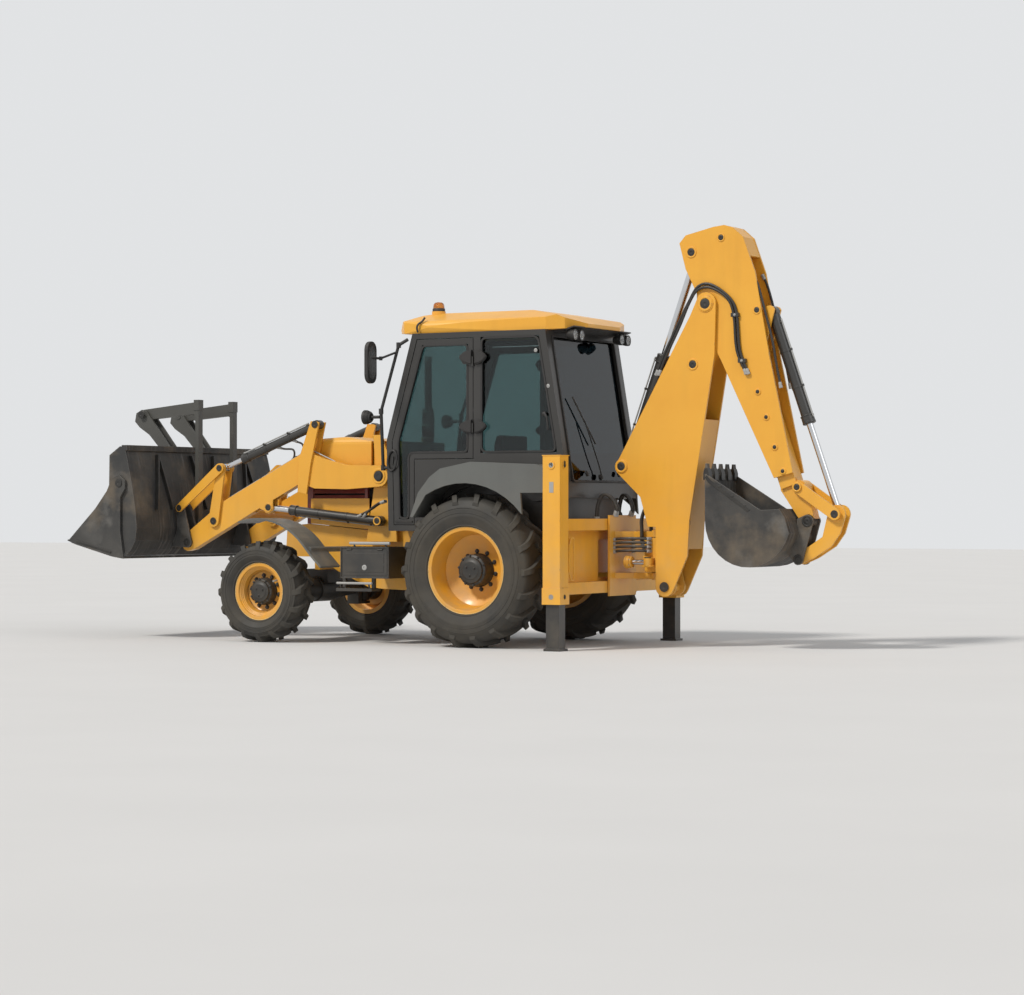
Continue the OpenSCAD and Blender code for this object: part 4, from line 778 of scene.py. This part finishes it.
BOX_FACE_Y = 990
for out in (1, -1):
    root.rod((796, out * 1001, 893), (1210, out * 1001, 893), 13, 14, STEEL)
    for x in (840, 1166):
        root.rod((x, out * 1001, 893), (x, out * 985, 850), 8, 10, BLACK)
    root.rod((981, out * 1000, 541), (1345, out * 1000, 541), 11, 14, STEEL)
    for x in (1016, 1314):
        root.rod((x, out * 1000, 541), (x, out * 985, 500), 8, 10, BLACK)
    root.prism([(838, 612), (1282, 612), (1290, 620), (1290, 826), (1282, 834), (838, 834), (830, 826),
                (830, 620)], out * BOX_FACE_Y, out * (BOX_FACE_Y + 6), BLACK)
    root.prism([(862, 640), (1258, 640), (1258, 806), (862, 806)], out * BOX_FACE_Y, out * (BOX_FACE_Y + 9),
               BLACK)
    for x in (900, 1220):
        root.rod((x - 26, out * 996, 838), (x + 26, out * 996, 838), 8, 10, DARK)
    root.turned([(24, -1), (24, 5), (20, 7), (9, 7), (8, 3)], (1060, out * 998, 680), (0, out, 0), 24, STEEL)
    for i in range(9):
        x = 1003 + i * 42
        root.box((x, out * 862, 494), (x + 14, out * 990, 499), BLACK)
        root.box((830 + i * 52, out * 830, 859), (848 + i * 52, out * 985, 864), BLACK)


# Cab

def inset(outline, d):
    """A counter-clockwise outline moved inwards by d."""
    moved = []
    for i, q in enumerate(outline):
        q = Vector(q)
        a = (q - Vector(outline[i - 1])).normalized()
        b = (Vector(outline[(i + 1) % len(outline)]) - q).normalized()
        moved.append(q + Vector((-a.y - b.y, a.x + b.x)) * (d / (1 + a.dot(b))))
    return moved


def rounded(outline, r, n=4):
    """A counter-clockwise outline with its corners rounded to about r."""
    points = []
    for i, q in enumerate(outline):
        q = Vector(q)
        a, b = Vector(outline[i - 1]) - q, Vector(outline[(i + 1) % len(outline)]) - q
        a, b = q + a.normalized() * min(r, a.length * 0.45), q + b.normalized() * min(r, b.length * 0.45)
        points += [a * (1 - t) ** 2 + q * 2 * t * (1 - t) + b * t * t for t in (k / n for k in range(n + 1))]
    return points


def strip_frame(form, outline, width, y0, y1, paint=0, put=None):
    """A flat frame along an outline, width wide to the inside. put turns (x, z, y) into a place."""
    put = put or (lambda x, z, y: (x, y, z))
    rings = [(outline, y0), (outline, y1), (inset(outline, width), y1), (inset(outline, width), y0)]
    n = len(outline)
    verts = [put(x, z, y) for points, y in rings for x, z in points]
    form.add(verts, [(r * n + i, r * n + (i + 1) % n, (r + 1) % 4 * n + (i + 1) % n, (r + 1) % 4 * n + i)
                     for r in range(4) for i in range(n)], paint)


def rear_glass(u, z, off):
    """A place on the rear window at the side u and the height z, off outside of it."""
    slope = Vector((-1214, 0, 204)).normalized()
    return Vector((-774 + (z - 1526) * 204 / 1214, u, z)) + slope * off


def front_glass(u, z, off):
    """A place on the windscreen, off outside of it."""
    x = 1010 + (z - 1000) * 20 / 800 if z < 1800 else 1030 - (z - 1800) * 267 / 940
    return Vector((x + off, u, z))


SEAL_IN, SEAL_OUT, SEAL_WIDTH = 664, 685, 17
DOOR_GLASS = [(796, 1106), (899, 1106), (919, 1790), (662, 2634), (196, 2634), (196, 1686), (796, 1686)]
QUARTER_GLASS = [(70, 1680), (70, 2690), (-510, 2690), (-689, 1680)]
HINGE_X = 138
for side, out in SIDES:
    door = on(f"door_{side}")
    seal = SEAL_WIDTH, out * SEAL_IN, out * SEAL_OUT, PLASTIC
    strip_frame(door, rounded(inset(DOOR_GLASS, -3), 46), *seal)
    strip_frame(root, rounded(inset(QUARTER_GLASS, 1), 60), *seal)
    # Hinge covers: the front half on the door, the rear half on the cab
    for z, tall in ((2516, 66), (1912, 62)):
        x = HINGE_X
        oval = [(x + 134 * cos(t) * (1 - 0.1 * abs(sin(t))), z + tall * sin(t)) for t in turns(28)]
        front = [p for p in oval if p[0] > x + 20]
        front = [p for p in front if p[1] < z] + [p for p in front if p[1] >= z]
        back = [p for p in oval if p[0] < x - 24]
        for form, half, edge in ((door, front, x + 12), (root, back, x - 24)):
            top = (edge, z + tall * 0.98)
            foot = (edge, z - tall * 0.98)
            outline = [foot] + half + [top] if half is front else [top] + half + [foot]
            form.prism(outline, out * 679, out * 704, PLASTIC)
            form.prism([(x + (px - x) * 0.9 + 0.1 * (edge - x), z + (pz - z) * 0.82) for px, pz in outline],
                       out * 703, out * 711, PLASTIC)
    # The lock: an oval ring with its lever
    ring = [(966 + 46 * cos(t) - 8 * sin(t), out * 690, 1622 + 88 * sin(t)) for t in turns(20) + [tau]]
    door.hose(ring, 11, paint=PLASTIC)
    door.prism(rounded([(940, 1556), (986, 1556), (982, 1688), (936, 1688)], 20), out * 676, out * 686, DARK)
    door.prism(rounded([(952, 1590), (970, 1590), (968, 1660), (950, 1660)], 8), out * 685, out * 698, PLASTIC)
    # Latch of the quarter window, its two studs, and the wide fold at the foot of the door
    root.turned([(20, -2), (20, 6), (13, 10)], (-560, out * 676, 2010), (0, out, 0), 20, PLASTIC)
    root.hose([(-560, out * 684, 2016), (-590, out * 694, 1990), (-604, out * 694, 1910),
               (-604, out * 690, 1870)], 9, paint=PLASTIC)
    for x, z in ((-478, 2560), (-600, 2250)):
        root.turned([(17, -2), (17, 6), (11, 9), (4, 9), (4, 7)], (x, out * 674, z), (0, out, 0), 18, STEEL)
    door.prism(rounded([(760, 1072), (938, 1072), (940, 1092), (760, 1092)], 8), out * 678, out * 688, PLASTIC)

# Windscreen and rear window: seals, wipers with their motors, and the rear window's handles
strip_frame(root, rounded([(-588, 1424), (588, 1424), (588, 2696), (-588, 2696)], 40), 18, -8, 10, PLASTIC,
            put=rear_glass)
for u, z in ((-300, 1500), (300, 1500)):
    root.turned([(24, -4), (24, 8), (14, 12)], rear_glass(u, z, 0), (-1, 0, 0.17), 20, PLASTIC)
arm = [rear_glass(60, 1470, 16), rear_glass(120, 1620, 26), rear_glass(240, 1960, 22)]
root.hose(arm, 6, 8, paint=DARK)
root.rod(rear_glass(90, 1760, 16), rear_glass(390, 2160, 16), 7, 8, HOSE)
root.turned([(26, -6), (26, 14), (14, 20)], rear_glass(60, 1470, 0), (-1, 0, 0.17), 20, PLASTIC)
arm = [front_glass(0, 1362, 16), front_glass(-60, 1480, 26), front_glass(-210, 1760, 20)]
root.hose(arm, 6, 8, paint=DARK)
root.rod(front_glass(-60, 1560, 14), front_glass(-340, 1780, 14), 7, 8, HOSE)
root.turned([(26, -6), (26, 14), (14, 20)], front_glass(0, 1362, 0), (1, 0, 0), 20, PLASTIC)
# Hook on the corner of the roof, and the dark lining below its rear edge
root.hose([(700, 690, 2748), (704, 699, 2790), (694, 690, 2822), (664, 676, 2846), (640, 668, 2880)], 9,
          paint=PLASTIC)
root.prism([(-776, 2772), (-700, 2750), (-560, 2741), (-500, 2741), (-500, 2733), (-700, 2735), (-782, 2764)],
           -540, 540, PLASTIC)


def lamp(name, at, way, r, depth):
    """A work lamp: finned housing, bright bowl and bulb, and a lens in a black rim."""
    form = Form()
    bulb = [(0.13, -depth * 0.7), (0.13, -depth * 0.3), (0.06, -depth * 0.22)]
    bowl = [(0.3, -depth * 0.72), (0.52, -depth * 0.6), (0.85, -8), (0.87, -9)]
    housing = [(0.34, -depth), (0.6, -depth), (0.88, -depth * 0.55), (1, -depth * 0.16), (1, 0), (0.9, 0),
               (0.86, -6), (0.5, -depth * 0.62), (0.34, -depth * 0.7)]
    glass = [(0.9, -7), (0.9, -3), (0.6, -0.5), (0.2, 0), (0.2, -4), (0.6, -5)]
    shapes = [(housing, 36, 0, "ring"), (bowl, 36, 1, "open"), (bulb, 12, 3, "capped"), (glass, 36, 2, "ring"),
              ([(0.22, -5), (0.22, 0.5)], 24, 2, "capped")]
    for k in range(5):
        share, a = 0.99 - 0.05 * k, -depth * (0.3 + 0.12 * k)
        shapes.append(([(0.5, a), (share, a), (share, a - 3), (0.5, a - 3)], 30, 0, "ring"))
    for profile, n, paint, ends in shapes:
        form.turned([(r * share, a) for share, a in profile], at, way, n, paint, ends)
    form.piece(name, "root", "lamp", [moulded, bright, clear, clear], sharp=30)


for side, out in SIDES:
    for k, y in enumerate((380, 500)):
        lamp(f"rear_lamp_{side}_{k}", (-775, out * y, 2695), (-1, 0, 0), 48, 84)
        root.box((-724, out * (y - 9), 2728), (-698, out * (y + 9), 2752), PLASTIC)
    lamp(f"front_lamp_{side}", (1249, out * 694, 2010), (1, 0, 0), 64, 70)
    root.rod((1092, out * 694, 2010), (1190, out * 694, 2010), 14, 16, PLASTIC)

UP = (0, 0, 1)
BEACON_PLACE = (640, 430, 0)
beacon = Form()
beacon.turned([(52, 2940), (56, 2942), (56, 2968), (52, 2974)], BEACON_PLACE, UP, 36)
beacon.turned([(49, 2972), (50, 2978), (48, 3000), (43, 3016), (30, 3026), (8, 3029)], BEACON_PLACE, UP, 36, 1)
beacon.piece("beacon_dressed", "root", "lamp", [moulded, amber], stands_for=["lamps"])

for side, out in SIDES:
    mirror = Form()
    glass = [(68 * cos(t), 102 * sin(t)) for t in turns(24)]
    mirror.add([(1003.5, out * (960 + u), 2480 + v * 1.45) for u, v in glass], [tuple(range(24))], 1)
    mirror.add([(1004.6, out * (960 + u * 1.06), 2480 + v * 1.5) for u, v in glass], [tuple(range(24))], 0)
    mirror.piece(f"mirror_glass_{side}", "root", "black_plastic", [moulded, bright])


# Seat

def cushion(name, centre, size, lean=0.0, channels=3):
    """A crowned pad with sides that pull in, a piped edge and sewn channels across its face."""
    form = Form()
    n = 28
    (sx, sy, sz), turn = size, Matrix.Rotation(lean, 3, "Y")
    verts = []
    for i in range(n + 1):
        for j in range(n + 1):
            u, v = i / n * 2 - 1, j / n * 2 - 1
            edge = (1 - abs(u) ** 5) * (1 - abs(v) ** 5)
            dip = sum(exp(-((v * sy / 2 - c) / 7) ** 2) for c in
                      [sy * (k / (channels + 1) - 0.5) for k in range(1, channels + 1)])
            pull = 1 - 0.05 * (1 - abs(v)) * abs(u) ** 3
            verts.append((u * sx / 2 * pull, v * sy / 2 * (1 - 0.04 * (1 - abs(u)) * abs(v) ** 3),
                          sz * (0.5 * edge ** 0.45 - 0.1 * dip * edge)))
    top = len(verts)
    verts += [(x, y, -sz / 2 + 0.24 * sz * (1 - min(1, 4 * (1 - abs(x) * 2 / sx))) if abs(x) * 2 > sx * 0.75
               else -sz / 2) for x, y, z in verts]
    faces = []
    for base, order in ((0, 1), (top, -1)):
        for i in range(n):
            for j in range(n):
                a = base + i * (n + 1) + j
                faces.append((a, a + n + 1, a + n + 2, a + 1)[::order])
    rim_ids = (list(range(n)) + [i * (n + 1) + n for i in range(n)]
               + [n * (n + 1) + j for j in range(n, 0, -1)] + [i * (n + 1) for i in range(n, 0, -1)])
    for a, b in zip(rim_ids, rim_ids[1:] + rim_ids[:1]):
        faces.append((a, b, b + top, a + top))
    form.add([Vector(centre) + turn @ Vector(v) for v in verts], faces)
    piping = [Vector(centre) + turn @ Vector((verts[i][0] * 1.005, verts[i][1] * 1.005, 0)) for i in rim_ids[::4]]
    form.hose(piping + piping[:1], 4, 8, 3, 1)
    form.piece(name, "root", "seat_fabric", [cloth, hosing], sharp=60)


cushion("seat_cushion", (395, 0, 1228), (462, 486, 84))
cushion("seat_back", (168, 0, 1560), (560, 448, 76), lean=radians(-95))
for side, out in SIDES:
    cushion(f"arm_pad_{side}", (360, out * 282, 1427), (312, 54, 44), channels=0)
base = Form()
base.prism(rounded([(262, 1022), (498, 1022), (520, 1040), (510, 1140), (250, 1140), (250, 1040)], 20), -124, 124)
base.prism(rounded([(152, 1140), (622, 1140), (628, 1186), (150, 1192)], 14), -244, 244)
base.prism([(100, 1330), (142, 1240), (226, 1190), (232, 1230), (172, 1280), (128, 1848), (102, 1840)], -222, 222)
for out in (1, -1):
    base.prism(rounded([(196, 1180), (236, 1180), (240, 1404), (520, 1404), (520, 1414), (204, 1414)], 10),
               out * 262, out * 300)
    base.box((196, out * 238, 1182), (236, out * 264, 1206))
base.piece("seat_base", "root", "black_plastic", [moulded], bevel=4, stands_for=["seat"])


# Loader, shovel, bucket and exhaust

shovel, clam, bucket, arms = on("shovel"), on("clam"), on("bucket"), on("loader_arms")
for out in (1, -1):
    # Ribs down the back of the shovel, in a V on each side
    for y0, y1 in ((700, 600), (700, 840), (180, 60)):
        for x0, z0, x1, z1 in ((3534, 1700, 3474, 1400), (3474, 1400, 3436, 1190)):
            t0, t1 = (1700 - z0) / 510, (1700 - z1) / 510
            a, b = out * (y0 + (y1 - y0) * t0), out * (y0 + (y1 - y0) * t1)
            shovel.add([(x0 + dx, a + dy, z0) for dx, dy in ((8, -9), (-30, -9), (-30, 9), (8, 9))]
                       + [(x1 + dx, b + dy, z1) for dx, dy in ((8, -9), (-30, -9), (-30, 9), (8, 9))],
                       [(0, 1, 2, 3), (7, 6, 5, 4), (0, 4, 5, 1), (1, 5, 6, 2), (2, 6, 7, 3), (3, 7, 4, 0)], DARK)
    for k in range(6):
        clam.bolt((4070, out * (110 + 190 * k), 872), (0.27, 0, -0.96), 15, 9, DARK)
    # Wear strips on the clam's side, and the bucket's side cutters
    clam.prism([(3700, 790), (4100, 888), (4094, 904), (3696, 806)], out * 1174, out * 1183, DARK)
    for x, z in ((-2045, 1402), (-2160, 1320), (-2275, 1238)):
        bucket.bolt((x, out * 300, z - 20), (0, out, 0), 12, 5, DARK)
    bucket.prism([(-1925, 1478), (-1960, 1440), (-2330, 1186), (-2300, 1168), (-1934, 1420), (-1905, 1462)],
                 out * 298, out * 303, DARK)
    # Grease lines and their clamps on top of the loader arms
    arms.hose([(1700, out * 482, 1622), (1800, out * 482, 1666), (1985, out * 486, 1731), (2110, out * 486, 1672),
               (2500, out * 486, 1478), (2860, out * 486, 1298)], 6, 8, 4, STEEL)
    for x, z in ((2110, 1664), (2500, 1469), (2840, 1300)):
        arms.box((x - 12, out * 470, z - 8), (x + 12, out * 500, z + 14), BLACK)
    # Panel between the louvres and the rail
    root.prism([(1400, 1010), (2030, 1062), (2030, 1290), (1400, 1290)], out * 374, out * 380, YELLOW)
for i in range(5):
    y = -265 + i * 132.5
    bucket.prism([(-1940, 1440), (-1890, 1440), (-1890, 1500), (-1902, 1540), (-1928, 1540), (-1940, 1500)],
                 y - 34, y + 34, DARK)

# Exhaust: clamps, the slots of its heat shield, and the rim of its mouth
STACK = Vector((1210, -330, 0))
for z in (1840, 1960, 2080):
    root.turned([(51, z), (56, z + 2), (56, z + 16), (51, z + 18)], STACK, UP, 36, STEEL, ends="ring")
for a in turns(18):
    around = STACK + Vector((55 * cos(a), 55 * sin(a), 0))
    for z in (1862, 1982):
        root.rod(around + Vector((0, 0, z)), around + Vector((0, 0, z + 96)), 3.5, 6, DARK)
root.turned([(33, 2560), (37, 2562), (37, 2596), (34, 2599), (29, 2599), (29, 2570)], STACK, UP, 32, STEEL,
            ends="ring")

for body, form in fittings.items():
    form.piece(f"{body}_fittings", body, "black_plastic" if "barrel" in body else "yellow_paint",
               FITTING_FINISHES, bevel=1.2)


# Stage and light

def sun(name, heading, height, softness, strength, colour):
    """A distant light from a heading in degrees from +X towards +Y, at a height above the horizon."""
    light = added(name, having(bpy.data.lights.new(name, "SUN"), angle=radians(softness), energy=strength,
                               color=colour))
    a, b = radians(heading), radians(height)
    source = Vector((cos(b) * cos(a), cos(b) * sin(a), sin(b)))
    light.rotation_euler = (-source).to_track_quat("-Z", "Y").to_euler()


FLOOR_HALF = 60


def stage():
    """A pale floor that keeps the shadow, and an even pale surround."""
    mesh = bpy.data.meshes.new("floor")
    half = FLOOR_HALF
    mesh.from_pydata([(-half, -half, 0), (half, -half, 0), (half, half, 0), (-half, half, 0)], [], [(0, 1, 2, 3)])
    floor = added("floor", mesh)
    f = Finish("floor", Roughness=0.9)
    f.set("Base Color", f.mix(f.span(f.noise(0.6, 3), 0.3, 0.7), (0.66, 0.655, 0.65), (0.68, 0.675, 0.67)))
    mesh.materials.append(f.mat)
    world = bpy.data.worlds.new("studio")
    bpy.context.scene.world = world
    world.use_nodes = True
    nodes, links = world.node_tree.nodes, world.node_tree.links
    background = nodes["Background"]
    path = nodes.new("ShaderNodeLightPath")
    seen = path.outputs["Is Camera Ray"]
    for kind in ("Is Transmission Ray", "Is Glossy Ray"):
        either = having(nodes.new("ShaderNodeMath"), operation="MAXIMUM")
        links.new(seen, either.inputs[0])
        links.new(path.outputs[kind], either.inputs[1])
        seen = either.outputs[0]
    strength = nodes.new("ShaderNodeMapRange")
    strength.inputs["To Min"].default_value = 0.45
    strength.inputs["To Max"].default_value = 0.78
    links.new(seen, strength.inputs["Value"])
    links.new(strength.outputs[0], background.inputs["Strength"])
    background.inputs["Color"].default_value = (0.97, 0.985, 1, 1)


stage()
sun("key", 66, 46, 9, 2.3, (1.0, 0.965, 0.91))
sun("fill", 165, 30, 40, 0.5, (0.93, 0.96, 1.0))
